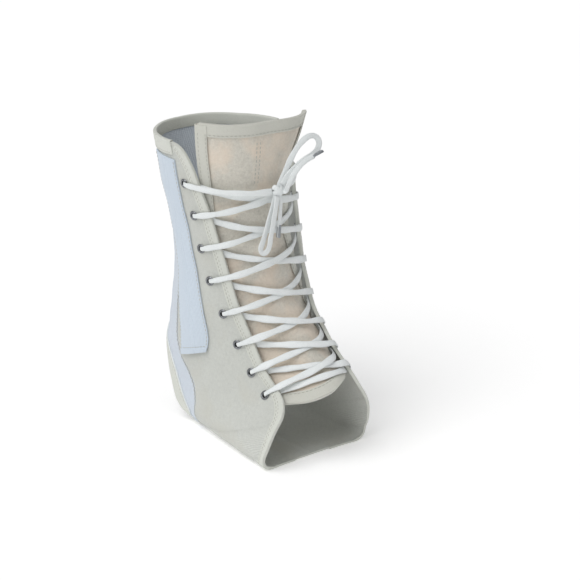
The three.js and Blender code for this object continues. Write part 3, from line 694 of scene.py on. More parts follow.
@dataclass(frozen=True)
class TapeFold:
    """Binding tape over a sheet's edge at share 0, in millimetres."""

    width: float
    cloth: float
    thick: float = 0.6
    lip: float = 1.1
    inner: float = 0.0
    lift: float = 0.0
    columns: int = 18
    corner: float = 0.75
    stitch_inset: float = 1.3
    stitch_depth: float = 0.16

    def profile(self) -> Array:
        """The tape's outer face across it: distance past the edge and height over the cloth.

        Returns:
            Pairs in millimetres, from the tape's inner edge round to its outer one.
        """
        high, low = GAP + self.thick + self.lift, -self.cloth
        turn = np.linspace(0, math.pi / 2, 5)
        past = -self.lip + self.corner * (1 - np.cos(turn))
        corner = np.stack([past, high - self.corner * (1 - np.sin(turn))], axis=-1)
        flat = np.linspace(-self.lip + 1.4, self.width, self.columns)
        seam = self.stitch_depth * np.exp(-(((flat - self.width + self.stitch_inset) / 0.45) ** 2))
        face = np.stack([flat, high - seam - 0.12 * ease(flat, self.width - 0.5, self.width)], axis=-1)
        start = [[-self.lip, low], [-self.lip, low / 2]]
        if self.inner:
            under = low - 0.55
            start = [
                [self.inner, under], [self.inner / 2, under], [0.3, under],
                [-self.lip + 0.3, under + 0.2], [-self.lip, under + 0.7], [-self.lip, low / 2],
            ]
        return np.concatenate([start, corner, face])

    def piece(
        self, name: str, sheet: Sheet, along: Array,
        widths: Array | None = None, lifts: Array | None = None,
    ) -> bpy.types.Object:
        """The folded tape along a sheet's edge.

        Args:
            name: the piece's name.
            sheet: the sheet that is bound, share 0 being its edge.
            along: places along the edge.
            widths: the tape's width at each place.
            lifts: extra height at each place.

        Returns:
            The piece.
        """
        line = self.profile()
        u, k = np.meshgrid(along, np.arange(len(line)), indexing="ij")
        off, rise = line[k, 0], line[k, 1]
        if widths is not None:
            off = np.where(off > 0, off * (widths[:, None] / self.width), off)
        if lifts is not None:
            rise = rise + np.where(rise > 0, lifts[:, None], 0)
        edge = sheet(u, np.zeros(u.shape), np.zeros(u.shape))
        way = sheet(u, np.full(u.shape, NEAR), np.zeros(u.shape)) - edge
        per_share = np.linalg.norm(way, axis=-1) / NEAR
        up = unit(sheet(u, np.zeros(u.shape), np.ones(u.shape)) - edge)
        beyond = edge + unit(way) * off[..., None] + up * rise[..., None]
        on_face = sheet(u, np.maximum(off, 0) / per_share, rise)
        points = np.where((off > 0)[..., None], on_face, beyond)
        ahead = np.gradient(points, axis=0)
        beside = np.gradient(points, axis=1)
        out = np.cross(ahead, beside)
        middle = (len(along) // 2, len(line) - 3)
        if np.dot(out[middle], up[middle]) < 0:
            out = -out
        piece = grid_piece(name, points, out)
        apply_modifier(piece, "SOLIDIFY", thickness=0.9 * self.thick * MM, offset=-1.0)
        apply_modifier(
            piece, "BEVEL", width=0.15 * MM, segments=2, limit_method="ANGLE", angle_limit=math.radians(60)
        )
        piece.data.shade_smooth()
        return piece


def band_piece(
    name: str, centres: Array, across: Array, width: Array, thick: Array, sides: int = 14,
) -> bpy.types.Object:
    """A flat woven lace along a line, closed at both ends.

    Args:
        name: the piece's name.
        centres: the line in millimetres, in the form's frame.
        across: direction of the lace's width at each point.
        width: its width at each point.
        thick: its thickness at each point.
        sides: how many sides its section has.

    Returns:
        The piece, with a UV map in metres along and round the lace.
    """
    tangent = unit(np.gradient(centres, axis=0))
    aside = across - tangent * np.sum(across * tangent, axis=1, keepdims=True)
    aside = unit(aside)
    for k in range(1, len(aside)):
        if np.dot(aside[k], aside[k - 1]) < 0:
            aside[k] = -aside[k]
    for _ in range(2):
        aside[1:-1] = unit(aside[:-2] + 2 * aside[1:-1] + aside[2:])
        aside = unit(aside - tangent * np.sum(aside * tangent, axis=1, keepdims=True))
    up = unit(np.cross(aside, tangent))
    turn = 2 * math.pi * np.arange(sides) / sides
    x, y = np.cos(turn), np.sin(turn)
    # A pressed section, squarer than an ellipse.
    x, y = np.sign(x) * np.abs(x) ** 0.8, np.sign(y) * np.abs(y) ** 0.75
    rings = (
        centres[:, None] + aside[:, None] * (x[None] * width[:, None] / 2)[..., None]
        + up[:, None] * (y[None] * thick[:, None] / 2)[..., None]
    )
    count = len(centres)
    ring = np.arange(count * sides).reshape(count, sides)
    quads = np.stack(
        [ring[:-1], np.roll(ring[:-1], -1, axis=1), np.roll(ring[1:], -1, axis=1), ring[1:]], axis=-1
    ).reshape(-1, 4)
    faces = [tuple(q) for q in quads.tolist()] + [tuple(ring[0][::-1].tolist()), tuple(ring[-1].tolist())]
    mesh = bpy.data.meshes.new(name)
    mesh.from_pydata(to_scene(rings.reshape(-1, 3)).tolist(), [], faces)
    mesh.update()
    along = np.repeat(run_lengths(centres), sides)
    round_it = np.tile(np.arange(sides) / sides, count) * 2 * HALF_ROUND
    layer = mesh.uv_layers.new(name="UVMap")
    corners = np.empty(len(mesh.loops), int)
    mesh.loops.foreach_get("vertex_index", corners)
    layer.data.foreach_set("uv", (np.stack([round_it, along], axis=-1)[corners] * MM).ravel())
    piece = bpy.data.objects.new(name, mesh)
    bpy.context.scene.collection.objects.link(piece)
    make_active(piece)
    bpy.ops.object.mode_set(mode="EDIT")
    bpy.ops.mesh.select_all(action="SELECT")
    bpy.ops.mesh.normals_make_consistent(inside=False)
    bpy.ops.object.mode_set(mode="OBJECT")
    mesh.shade_smooth()
    return piece


def resampled(points: Array, step: float) -> Array:
    """A chain of points at even steps.

    Args:
        points: the chain.
        step: about how far apart the new points are.

    Returns:
        The new chain.
    """
    length = run_lengths(points)
    places = np.linspace(0, length[-1], max(int(length[-1] / step), 2) + 1)
    return np.stack([np.interp(places, length, points[:, k]) for k in range(points.shape[1])], axis=-1)


def softened(points: Array, rounds: int) -> Array:
    """A chain of points with its corners rounded, its ends kept.

    Args:
        points: the chain.
        rounds: how often it is smoothed.

    Returns:
        The new chain.
    """
    points = points.copy()
    for _ in range(rounds):
        points[1:-1] = (points[:-2] + 2 * points[1:-1] + points[2:]) / 4
    return points


class Stitcher:
    """Sews: one stitch is modelled once, and copies of it lie along lines on the cloth."""

    def __init__(self, radius: float = 0.27) -> None:
        """Models the stitch: a short thread that dives into the cloth at both ends.

        Args:
            radius: half of the thread's thickness, millimetres.
        """
        clear_selection()
        bpy.ops.mesh.primitive_uv_sphere_add(segments=6, ring_count=5, radius=1.0)
        piece = bpy.context.object
        bpy.ops.object.mode_set(mode="EDIT")
        bpy.ops.mesh.select_all(action="SELECT")
        bpy.ops.transform.resize(value=(radius, 0.8 * radius, 0.5))
        bpy.ops.object.mode_set(mode="OBJECT")
        self.points = np.array([v.co for v in piece.data.vertices], float)
        self.points = self.points[:, [2, 0, 1]]
        self.faces = [list(face.vertices) for face in piece.data.polygons]
        bpy.data.objects.remove(piece)

    def sew(self, name: str, starts: Array, ends: Array, normals: Array) -> bpy.types.Object:
        """Copies of the stitch from each start to its end, as one piece.

        Args:
            name: the piece's name.
            starts: where each stitch starts.
            ends: where it ends.
            normals: which way is up from the cloth there.

        Returns:
            The piece.
        """
        along = ends - starts
        length = np.linalg.norm(along, axis=1)
        along = unit(along)
        normals = unit(normals - along * np.sum(normals * along, axis=1, keepdims=True))
        beside = np.cross(normals, along)
        p = self.points
        placed = (
            ((starts + ends) / 2)[:, None] + along[:, None] * (p[None, :, 0] * length[:, None])[..., None]
            + beside[:, None] * p[None, :, 1, None] + normals[:, None] * p[None, :, 2, None]
        )
        count = len(p)
        faces = [[i + count * k for i in face] for k in range(len(starts)) for face in self.faces]
        mesh = bpy.data.meshes.new(name)
        mesh.from_pydata(to_scene(placed.reshape(-1, 3)).tolist(), [], faces)
        mesh.update()
        mesh.shade_smooth()
        down_it = (p[None, :, 0] * length[:, None]).ravel()
        thread = np.stack([np.tile(p[:, 1], len(starts)), down_it], axis=-1)
        corners = np.empty(len(mesh.loops), int)
        mesh.loops.foreach_get("vertex_index", corners)
        mesh.uv_layers.new(name="UVMap").data.foreach_set("uv", (thread[corners] * MM).ravel())
        piece = bpy.data.objects.new(name, mesh)
        bpy.context.scene.collection.objects.link(piece)
        make_active(piece)
        bpy.ops.object.mode_set(mode="EDIT")
        bpy.ops.mesh.select_all(action="SELECT")
        bpy.ops.mesh.normals_make_consistent(inside=False)
        bpy.ops.object.mode_set(mode="OBJECT")
        return piece


@dataclass
class Seams:
    """Gathers lines of stitching and sews them as one piece."""

    pitch: float = 2.8
    share: float = 0.72

    def __post_init__(self) -> None:
        """Starts with no stitches."""
        self.parts: list[tuple[Array, Array, Array]] = []

    def line(self, sheet: Sheet, along: Array, across: Array | float, rise: float) -> None:
        """A straight row of stitches on a sheet.

        Args:
            sheet: the sheet.
            along: places along it.
            across: share across it.
            rise: offset of the stitches.
        """
        across = np.broadcast_to(across, along.shape)
        face = sheet(along, across, np.full(along.shape, rise))
        up = sheet(along, across, np.full(along.shape, rise + 1)) - face
        length = run_lengths(face)
        starts = np.arange(self.pitch * 0.3, length[-1] - self.pitch, self.pitch)
        ends = starts + self.pitch * self.share

        def pick(data: Array, at: Array) -> Array:
            """Values of the row at distances along it."""
            return np.stack([np.interp(at, length, data[:, k]) for k in range(3)], axis=-1)

        self.parts.append((pick(face, starts), pick(face, ends), pick(up, starts)))

    def zigzag(
        self, sheet: Sheet, along: Array, across: float, rise: float, swing: float, step: float,
    ) -> None:
        """A zigzag row: stitches from side to side of a line.

        Args:
            sheet: the sheet.
            along: places along it.
            across: share across it.
            rise: offset of the stitches.
            swing: share across to each side.
            step: millimetres from point to point.
        """
        face = sheet(along, np.full(along.shape, across), np.full(along.shape, rise))
        length = run_lengths(face)
        places = np.interp(np.arange(0, length[-1], step), length, along)
        sides = across + swing * np.where(np.arange(len(places)) % 2 == 0, 1, -1)
        points = sheet(places, sides, np.full(places.shape, rise))
        up = sheet(places, sides, np.full(places.shape, rise + 1)) - points
        self.parts.append((points[:-1], points[1:], up[:-1]))

    def sew(self, name: str, stitcher: Stitcher) -> bpy.types.Object:
        """All the rows as one piece."""
        return stitcher.sew(name, *(np.concatenate(column) for column in zip(*self.parts)))


def linear(colour: str) -> tuple[float, float, float, float]:
    """An sRGB hex colour as linear shares."""
    values = [int(colour[k:k + 2], 16) / 255 for k in (1, 3, 5)]
    return tuple(v / 12.92 if v <= 0.04045 else ((v + 0.055) / 1.055) ** 2.4 for v in values) + (1.0,)


def add_node(
    tree: bpy.types.NodeTree, kind: str, inputs: dict | None = None, **settings: object,
) -> bpy.types.Node:
    """Adds a node with its settings, and links or sets its inputs.

    Args:
        tree: the node tree.
        kind: Blender's name for the node.
        inputs: a socket to link or a value to set, for each input.
        settings: its settings.

    Returns:
        The node.
    """
    made = tree.nodes.new(kind)
    for name, value in settings.items():
        setattr(made, name, value)
    for key, value in (inputs or {}).items():
        if isinstance(value, bpy.types.NodeSocket):
            tree.links.new(value, made.inputs[key])
        else:
            made.inputs[key].default_value = value
    return made


class Weave(Enum):
    """How a cloth's threads run."""

    PLAIN = "plain"
    TWILL = "twill"
    RIB = "rib"
    BRAID = "braid"
    BRUSHED = "brushed"


# The waves that each weave's threads make: how fast each runs across and along the cloth, and its
# spacing as a share of the finish's pitch.
WAVES = {
    Weave.PLAIN: ((1.0, 0.0, 1.0), (0.0, 1.0, 1.0)),
    Weave.TWILL: ((1.0, 1.0, 1.0),),
    Weave.RIB: ((1.0, 0.0, 1.0), (0.0, 1.0, 0.4)),
    Weave.BRAID: ((1.6, 1.0, 1.0), (1.6, -1.0, 1.0)),
    Weave.BRUSHED: ((1.0, 0.0, 1.0), (0.0, 1.0, 1.0)),
}
# Repeats per metre and detail of the noise that stands for loose fibres, clumps of them and pills.
FIBRES, CLUMPS, PILLS = (900.0, 3.0), (420.0, 4.0), (330.0, 5.0)
DRIFT = 0.0006  # how far threads wander from straight, metres
PAINTED_LIGHT_SPAN = (0.19, 0.11)  # heights between which the flannel's patches of painted light grow, metres
PATCH_STRENGTH = 0.6


@dataclass(frozen=True)
class ClothFinish:
    """A woven cotton or elastic finish."""

    name: str
    colour: str
    shade: str
    weave: Weave
    pitch: float
    depth: float = 0.12
    contrast: float = 0.5
    roughness: float = 0.9
    sheen: float = 0.25
    patch: str = ""
    patch_share: float = 0.0
    patch_scale: float = 28.0
    fuzz: float = 0.25
    painted_light_low: float = 0.0

    def threads(self, tree: bpy.types.NodeTree) -> bpy.types.NodeSocket:
        """The height of the threads, from the UV map in metres of cloth.

        Args:
            tree: the node tree.

        Returns:
            The socket that gives it.
        """
        uv = add_node(tree, "ShaderNodeUVMap", uv_map="UVMap").outputs["UV"]
        spot = add_node(tree, "ShaderNodeTexCoord").outputs["Object"]
        drift = add_node(tree, "ShaderNodeTexNoise", {"Vector": spot, "Scale": 160.0, "Detail": 2.0})
        bend = {0: drift.outputs["Color"], 1: (DRIFT, DRIFT, 0.0)}
        bent = add_node(tree, "ShaderNodeVectorMath", bend, operation="MULTIPLY")
        moved = add_node(tree, "ShaderNodeVectorMath", {0: uv, 1: bent.outputs[0]}, operation="ADD")
        waves = []
        for aside, along, spacing in WAVES[self.weave]:
            rate = math.pi / (self.pitch * spacing * MM)
            run = {0: moved.outputs[0], 1: (aside * rate, along * rate, 0.0)}
            phase = add_node(tree, "ShaderNodeVectorMath", run, operation="DOT_PRODUCT").outputs["Value"]
            waves.append(add_node(tree, "ShaderNodeMath", {0: phase}, operation="SINE").outputs[0])
        ridged = waves[:1] if self.weave is Weave.RIB else waves
        ridges = [
            add_node(tree, "ShaderNodeMath", {0: wave}, operation="ABSOLUTE").outputs[0] for wave in ridged
        ]
        if self.weave is Weave.TWILL:
            return ridges[0]
        if self.weave is Weave.RIB:
            low = add_node(tree, "ShaderNodeMath", {0: waves[1], 1: 0.15}, operation="MULTIPLY").outputs[0]
            return add_node(tree, "ShaderNodeMath", {0: ridges[0], 1: low}, operation="ADD").outputs[0]
        how = "MAXIMUM" if self.weave is Weave.BRAID else "MULTIPLY"
        return add_node(tree, "ShaderNodeMath", {0: ridges[0], 1: ridges[1]}, operation=how).outputs[0]

    def material(self) -> bpy.types.Material:
        """The finish as a material.

        Returns:
            The material.
        """
        made = bpy.data.materials.new(self.name)
        made.use_nodes = True
        tree = made.node_tree
        shader = tree.nodes["Principled BSDF"]
        spot = add_node(tree, "ShaderNodeTexCoord").outputs["Object"]
        threads = self.threads(tree)
        noises = [
            {"Vector": spot, "Scale": scale, "Detail": detail}
            for scale, detail in (FIBRES, CLUMPS, (self.patch_scale, 4.0))
        ]
        fine, clumps, broad = (add_node(tree, "ShaderNodeTexNoise", noise).outputs[0] for noise in noises)
        lit, rough, height = threads, fine, fine
        # The threads' height sets the colour: painted highlight on the threads' tops and painted shade in
        # the gaps between them, with random fibre tone over it.
        for how, value in (("MULTIPLY", self.contrast), ("ADD", 1 - self.contrast)):
            lit = add_node(tree, "ShaderNodeMath", {0: lit, 1: value}, operation=how).outputs[0]
        for how, value in (("ADD", clumps), ("SUBTRACT", 1.0), ("MULTIPLY", self.fuzz)):
            rough = add_node(tree, "ShaderNodeMath", {0: rough, 1: value}, operation=how).outputs[0]
        lit = add_node(tree, "ShaderNodeMath", {0: lit, 1: rough}, operation="ADD", use_clamp=True)
        mixed = {0: lit.outputs[0], 6: linear(self.shade), 7: linear(self.colour)}
        colour = add_node(tree, "ShaderNodeMix", mixed, data_type="RGBA").outputs[2]
        # Patches: on the canvas a random mottle in its own tone; on the flannel, painted light.
        if self.patch:
            # Painted light: the patches spread further towards the bottom, between the span's heights.
            if self.painted_light_low:
                above = add_node(tree, "ShaderNodeSeparateXYZ", {0: spot}).outputs[2]
                span = {"From Min": PAINTED_LIGHT_SPAN[0], "From Max": PAINTED_LIGHT_SPAN[1], "To Min": 0.0}
                span |= {"Value": above, "To Max": -self.painted_light_low}
                lower = add_node(tree, "ShaderNodeMapRange", span).outputs[0]
                broad = add_node(tree, "ShaderNodeMath", {0: broad, 1: lower}, operation="ADD").outputs[0]
            limit = 0.5 + 0.4 * (self.patch_share - 0.5)
            span = {"From Min": limit + 0.10, "From Max": limit - 0.08, "To Min": 0.0}
            span |= {"Value": broad, "To Max": PATCH_STRENGTH}
            area = add_node(tree, "ShaderNodeMapRange", span).outputs[0]
            mixed = {0: area, 6: colour, 7: linear(self.patch)}
            colour = add_node(tree, "ShaderNodeMix", mixed, data_type="RGBA").outputs[2]
        tree.links.new(colour, shader.inputs["Base Color"])
        for how, value in (("MULTIPLY", 0.5), ("ADD", threads)):
            height = add_node(tree, "ShaderNodeMath", {0: height, 1: value}, operation=how).outputs[0]
        if self.weave is Weave.BRUSHED:
            noise = {"Vector": spot, "Scale": PILLS[0], "Detail": PILLS[1]}
            pills = add_node(tree, "ShaderNodeTexNoise", noise).outputs[0]
            for how, value in (("MULTIPLY", 2.4), ("ADD", height)):
                pills = add_node(tree, "ShaderNodeMath", {0: pills, 1: value}, operation=how).outputs[0]
            height = pills
        relief = {"Height": height, "Distance": self.depth * MM, "Strength": 1.0}
        bump = add_node(tree, "ShaderNodeBump", relief)
        tree.links.new(bump.outputs["Normal"], shader.inputs["Normal"])
        shader.inputs["Roughness"].default_value = self.roughness
        shader.inputs["IOR"].default_value = 1.5
        shader.inputs["Specular IOR Level"].default_value = 0.25
        shader.inputs["Sheen Weight"].default_value = self.sheen
        shader.inputs["Sheen Roughness"].default_value = 0.5
        return made


@dataclass(frozen=True)
class HardFinish:
    """A metal or moulded finish with fine scuffs."""

    name: str
    colour: str
    worn: str
    metallic: float
    roughness: float

    def material(self) -> bpy.types.Material:
        """The finish as a material.

        Returns:
            The material.
        """
        made = bpy.data.materials.new(self.name)
        made.use_nodes = True
        tree = made.node_tree
        shader = tree.nodes["Principled BSDF"]
        spot = add_node(tree, "ShaderNodeTexCoord").outputs["Object"]
        noise = {"Vector": spot, "Scale": 700.0, "Detail": 4.0}
        scuffs = add_node(tree, "ShaderNodeTexNoise", noise).outputs[0]
        mixed = {0: scuffs, 6: linear(self.colour), 7: linear(self.worn)}
        colour = add_node(tree, "ShaderNodeMix", mixed, data_type="RGBA").outputs[2]
        tree.links.new(colour, shader.inputs["Base Color"])
        bump = add_node(tree, "ShaderNodeBump", {"Height": scuffs, "Distance": 0.03 * MM, "Strength": 0.6})
        tree.links.new(bump.outputs["Normal"], shader.inputs["Normal"])
        shader.inputs["Metallic"].default_value = self.metallic
        shader.inputs["Roughness"].default_value = self.roughness
        return made


# Ecru cotton duck: a tight plain weave whose crossings catch the light. The threads are drawn at
# 0.7 mm, about twice their real spacing, because finer ones don't show.
CANVAS = ClothFinish(
    "cotton_duck_canvas", "#d9dbd5", "#b1b3ad", Weave.PLAIN, 0.7, 0.14, 0.6,
    patch="#c9c8bd", patch_share=0.2, fuzz=0.42,
)
# Cotton twill binding tape: paler than the canvas, with a slanting rib, drawn coarser than it is.
TAPE = ClothFinish("cotton_twill_tape", "#dbddd5", "#bfc1b9", Weave.TWILL, 0.8, 0.10, 0.5)
# The same tape round the tongue, warmer in tone and painted darker, as painted shade where the tongue lies
# sunk under the lacing.
SHADED_TONGUE_TAPE = ClothFinish("tongue_twill_tape_painted_shade", "#d6d6cd", "#b9b9b0", Weave.TWILL, 0.8, 0.10, 0.5)
# Brushed cotton flannel: a soft pilled nap over its weave, with warm pale patches of painted light that
# grow downwards, where the tongue lies in the lacing's shade.
FLANNEL = ClothFinish(
    "brushed_cotton_flannel", "#e3dfd4", "#b7b2a6", Weave.BRUSHED, 0.9, 0.24, 0.35, sheen=0.4,
    patch="#f3e2cf", patch_share=0.34, patch_scale=40.0, fuzz=0.85, painted_light_low=0.09,
)
# Woven elastic: white with a cool cast and lengthwise ribs, drawn wider than they are to show.
ELASTIC = ClothFinish("woven_elastic", "#d3dbe4", "#aab3c0", Weave.RIB, 1.7, 0.18, 0.55)
# Stay webbing: the same cool white, woven flatter, its ribs drawn wider than they are too.
WEBBING = ClothFinish("cotton_webbing", "#cfdae5", "#b3bfcc", Weave.RIB, 1.3, 0.12, 0.5)
# Tubular braided cotton lace, pressed flat: strands that cross, painted bright on their tops and greyer in
# between, as painted highlight and painted shade.
LACE = ClothFinish("braided_cotton_lace", "#f3f7f7", "#c3c9cb", Weave.BRAID, 1.1, 0.16, 0.75, sheen=0.3)
# Sewing thread, painted greyer than the tape that it holds: painted shade for the thread sunk in its holes
# and the dark line along each seam.
SHADED_THREAD = ClothFinish("cotton_thread_painted_shade", "#c0c0b7", "#98988f", Weave.TWILL, 0.3, 0.04, 0.5)
# Nickel-plated brass with a tarnished cast.
NICKEL = HardFinish("nickel_plated_brass", "#6c6e72", "#9a9c9e", 1.0, 0.28)
# The crimped ends of the lace: greyed metal foil.
LACE_TIP = HardFinish("crimped_lace_tip", "#a3a8ae", "#c2c6ca", 0.5, 0.40)

FINISHES: dict[str, bpy.types.Material] = {}


def dress(
    piece: bpy.types.Object, finish: ClothFinish | HardFinish, nodes: Sequence[str] = (),
) -> bpy.types.Object:
    """Gives a piece its finish and the nodes that it stands for, and lets it ride.

    Args:
        Gives a piece its finish, hides the nodes that it stands for, and lets it ride.
        finish: its finish.
        nodes: the nodes that it stands for.

    Returns:
        The piece.
    """
    piece.name = piece.name.split(".")[0] + "_look"
    piece.data.name = piece.name
    for vertex in piece.data.vertices:
        if vertex.co.z < SOLE:
            vertex.co.z = SOLE
    if finish.name not in FINISHES:
        FINISHES[finish.name] = finish.material()
    piece.data.materials.clear()
    piece.data.materials.append(FINISHES[finish.name])
    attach(piece, "root")
    if nodes:
        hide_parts(*nodes)
    LOG.info("%s: %d faces, %s", piece.name, len(piece.data.polygons), finish.name)
    return piece


@dataclass(frozen=True)
class Stop:
    """A place that the lace runs to: an eyelet's, or the knot's, whose side is None."""

    station: float
    angle: float
    side: Side | None = None


LacePoint = tuple[Array, Array, float]


@dataclass
class Lacing:
    """The lace through the eyelets, its knot and its bow, in millimetres."""

    width: float = 4.6
    thick: float = 1.15
    in_hole: float = 3.0
    bend: float = 1.6
    on_flange: float = 1.9
    under: float = -2.7
    over_lace: float = -1.2
    knot_station: float = 2.0
    knot_angle: float = 3.5
    knot_offset: float = 3.2
    knot_side: float = 5.9
    run_steps: int = 44
    step: float = 1.1
    thick_in_hole: float = 1.5
    tail_width: float = 1.9
    sunk: float = 3.5
    tip_length: float = 9.0
    tip_radius: float = 1.5
    crossing_span: tuple[float, float] = (0.38, 0.62)

    def knot_centre(self) -> Array:
        """The middle of the knot."""
        out = FORM.directions(self.knot_station, self.knot_angle, 1.0)[2]
        return FORM.point(self.knot_station, self.knot_angle, 1.0) + out * self.knot_offset

    def run(
        self, start: Stop, end: Stop, from_level: float, to_level: float, crossing: list,
    ) -> list[LacePoint]:
        """Points of one run of the lace.

        Args:
            start: where it starts.
            end: where it ends.
            from_level: millimetres over the form there.
            to_level: the same at its end.
            crossing: shares of the run and levels where another run is passed.

        Returns:
            For each point its place, the way across and how far the lace has opened out.
        """
        start_point, end_point = (FORM.point(s.station, s.angle, 1.0) for s in (start, end))
        length = float(np.linalg.norm(start_point - end_point))

        def share_at(side: Side) -> float:
            """The share of the run at which it crosses a quarter's front edge.

            Args:
                side: the half whose edge it crosses.

            Returns:
                The share.
            """
            share = 0.0 if side is start.side else 1.0
            for _ in range(8):
                station = lerp(start.station, end.station, share)
                edge = side.value * by_station(QUARTER_RIBS, side.word, station, "front")
                share = float((edge - start.angle) / (end.angle - start.angle))
            return share

        clear, past = (self.bend + 0.5 * self.width) / length, self.sunk / length
        keys = [(0.0, from_level), (clear, from_level)]
        if start.side:
            keys.append((share_at(start.side) + past, from_level))
        keys += crossing
        if end.side:
            keys.append((share_at(end.side) - past, to_level))
        keys += [(1 - clear, to_level), (1.0, to_level)]
        first = self.bend / length if start.side else 0.0
        last = 1 - self.bend / length if end.side else 1.0
        made = []
        for share in np.linspace(first, last, self.run_steps + 1):
            k = 0
            while k < len(keys) - 2 and keys[k + 1][0] < share:
                k += 1
            part = (share - keys[k][0]) / (keys[k + 1][0] - keys[k][0])
            level = lerp(keys[k][1], keys[k + 1][1], float(ease(part, 0, 1)))
            station, angle = lerp(start.station, end.station, share), lerp(start.angle, end.angle, share)
            down, round_it, out = FORM.directions(station, angle, 1.0)
            way = unit(down * (end.station - start.station) + round_it * (end.angle - start.angle))
            ends = min(share * length if start.side else FAR, (1 - share) * length if end.side else FAR)
            wide = float(ease(ends, self.bend, 1.4 * self.width))
            made.append((FORM.point(station, angle, 1.0) + out * level, np.cross(out, way), wide))
        return made

    def turn(
        self, at: Stop, before: Array, after: Array, from_level: float, to_level: float,
    ) -> list[LacePoint]:
        """Points where the lace goes through an eyelet.

        Args:
            at: the eyelet.
            before: the point before it.
            after: the point after it.
            from_level: millimetres over the form before it.
            to_level: the same after it.

        Returns:
            Points as in run.
        """
        centre = FORM.point(at.station, at.angle, 1.0)
        out = FORM.directions(at.station, at.angle, 1.0)[2]

        def flat(point: Array) -> Array:
            """The direction from the eyelet to a point, in the eyelet's plane."""
            away = point - centre
            return unit(away - out * np.dot(away, out))

        down = math.copysign(1, to_level - from_level)

        def bend(way: Array, level: float, sign: float) -> list[LacePoint]:
            """A quarter turn from a direction into the hole.

            Args:
                way: the direction.
                level: millimetres over the form where it starts.
                sign: 1 upwards, -1 downwards.

            Returns:
                Points as in run.
            """
            made = []
            for share in np.linspace(0, 1, 6)[1:]:
                turn = share * math.pi / 2
                depth = level + sign * self.bend * (1 - math.cos(turn))
                place = centre + way * self.bend * (1 - math.sin(turn)) + out * depth
                made.append((place, np.cross(out, way), 0.0))
            return made

        return bend(flat(before), from_level, down) + bend(flat(after), to_level, -down)[::-1]

    def held(self) -> bpy.types.Object:
        """The lace from the knot through every eyelet and back.

        Returns:
            The piece.
        """
        count = len(EYELETS["rib"])

        def stop(side: Side, k: int) -> Stop:
            """An eyelet as a stop of the lace."""
            station, angle = eyelet_place(side, k)
            return Stop(station, side.value * angle, side)

        down = [stop(Side.MEDIAL if k % 2 else Side.LATERAL, k) for k in range(count)]
        up = [stop(Side.LATERAL if k % 2 else Side.MEDIAL, k) for k in range(count)][::-1]
        first, last = (Stop(self.knot_station, self.knot_angle + s * self.knot_side) for s in (-1, 1))
        route = [first, *down, *up, last]
        turn_after = count - 1

        def levels(k: int) -> tuple[float, float]:
            """The levels at which the lace comes to a stop and leaves it."""
            return (self.on_flange, self.under) if k <= turn_after else (self.under, self.on_flange)

        runs = []
        for k in range(len(route) - 1):
            at_knot = k == 0 or k + 2 == len(route)
            from_level = self.knot_offset if k == 0 else levels(k - 1)[1]
            to_level = self.knot_offset if k + 2 == len(route) else levels(k)[0]
            crossing = []
            # The way up lies over the way down, apart from the third crossing from below.
            if k != turn_after + 1 and not at_knot:
                over = (k > turn_after + 1) != (abs(k - turn_after - 1) == 3)
                level = self.over_lace if over else self.under
                crossing = [(share, level) for share in self.crossing_span]
            runs.append(self.run(route[k], route[k + 1], from_level, to_level, crossing))
        points = []
        for k, made in enumerate(runs):
            points += made
            if k + 1 < len(runs):
                points += self.turn(route[k + 1], made[-1][0], runs[k + 1][0][0], *levels(k))
        centres, across = (np.array([p[i] for p in points]) for i in (0, 1))
        for k in range(1, len(across)):
            if np.dot(across[k], across[k - 1]) < 0:
                across[k] = -across[k]
        wide = np.array([p[2] for p in points])[:, None]
        line = softened(resampled(np.concatenate([centres, across, wide], axis=1), self.step), 2)
        wide = line[:, 6]
        place = np.arange(len(line)) * self.step
        sway = 0.10 * np.sin(place * 0.31) + 0.08 * np.sin(place * 0.083 + 2)
        width = lerp(self.in_hole, self.width, wide) * (1 + sway * wide)
        thick = lerp(self.thick_in_hole, self.thick, wide)
        LOG.info("held lace is %.0f mm long", run_lengths(line[:, :3])[-1])
        return band_piece("lace", line[:, :3], line[:, 3:6], width, thick)

    def free(
        self, name: str, offsets: list, width: float, facing: tuple[float, float, float],
        tail: float = 0.0,
    ) -> tuple[bpy.types.Object, Array]:
        """A free length of the lace along the bow's points.

        Args:
            name: the piece's name.
            offsets: points from the middle of the knot.
            width: in millimetres.
            facing: which way its flat face looks.
            tail: how far it runs on, in its tip.

        Returns:
            The piece and its line in metres.
        """
        known = np.array(offsets) + self.knot_centre()
        places = np.linspace(0, len(known) - 1, 10 * len(known))
        line = np.stack([smooth(known[:, k], places) for k in range(3)], axis=-1)
        line = softened(resampled(line, 1.0), 2)
        if tail:
            way = unit(line[-1] - line[-4])
            line = np.concatenate([line, line[-1] + way * np.arange(1, int(tail) + 1)[:, None]])
        tangent = unit(np.gradient(line, axis=0))
        across = np.cross(tangent, unit(np.array(facing)))
        place = np.arange(len(line))
        widths = width * (1 + 0.07 * np.sin(place * 0.37))
        if tail:
            widths[-int(tail) + 1:] = self.tail_width
        piece = band_piece(name, line, across, widths, np.full(len(line), self.thick * 1.1))
        return piece, to_scene(line)

    def tip(self, name: str, line: Array) -> bpy.types.Object:
        """The crimped metal tip over the last of a free length.

        Args:
            name: the piece's name.
            line: the line of the free length.

        Returns:
            The piece.
        """
        clear_selection()
        bpy.ops.mesh.primitive_cylinder_add(
            vertices=20, radius=self.tip_radius * MM, depth=self.tip_length * MM
        )
        piece = bpy.context.object
        piece.name = name
        bpy.ops.object.mode_set(mode="EDIT")
        bpy.ops.mesh.select_all(action="SELECT")
        bpy.ops.transform.resize(value=(1.12, 0.62, 1.0))
        bpy.ops.mesh.bevel(offset=0.35 * MM, segments=2, affect="EDGES")
        bpy.ops.object.mode_set(mode="OBJECT")
        way = Vector(line[-1] - line[-4]).normalized()
        turn = way.to_track_quat("Z", "Y").to_matrix().to_4x4()
        middle = Vector(line[-1]) - way * (self.tip_length / 2 - 0.3) * MM
        piece.data.transform(Matrix.Translation(middle) @ turn)
        piece.data.shade_smooth()
        return piece

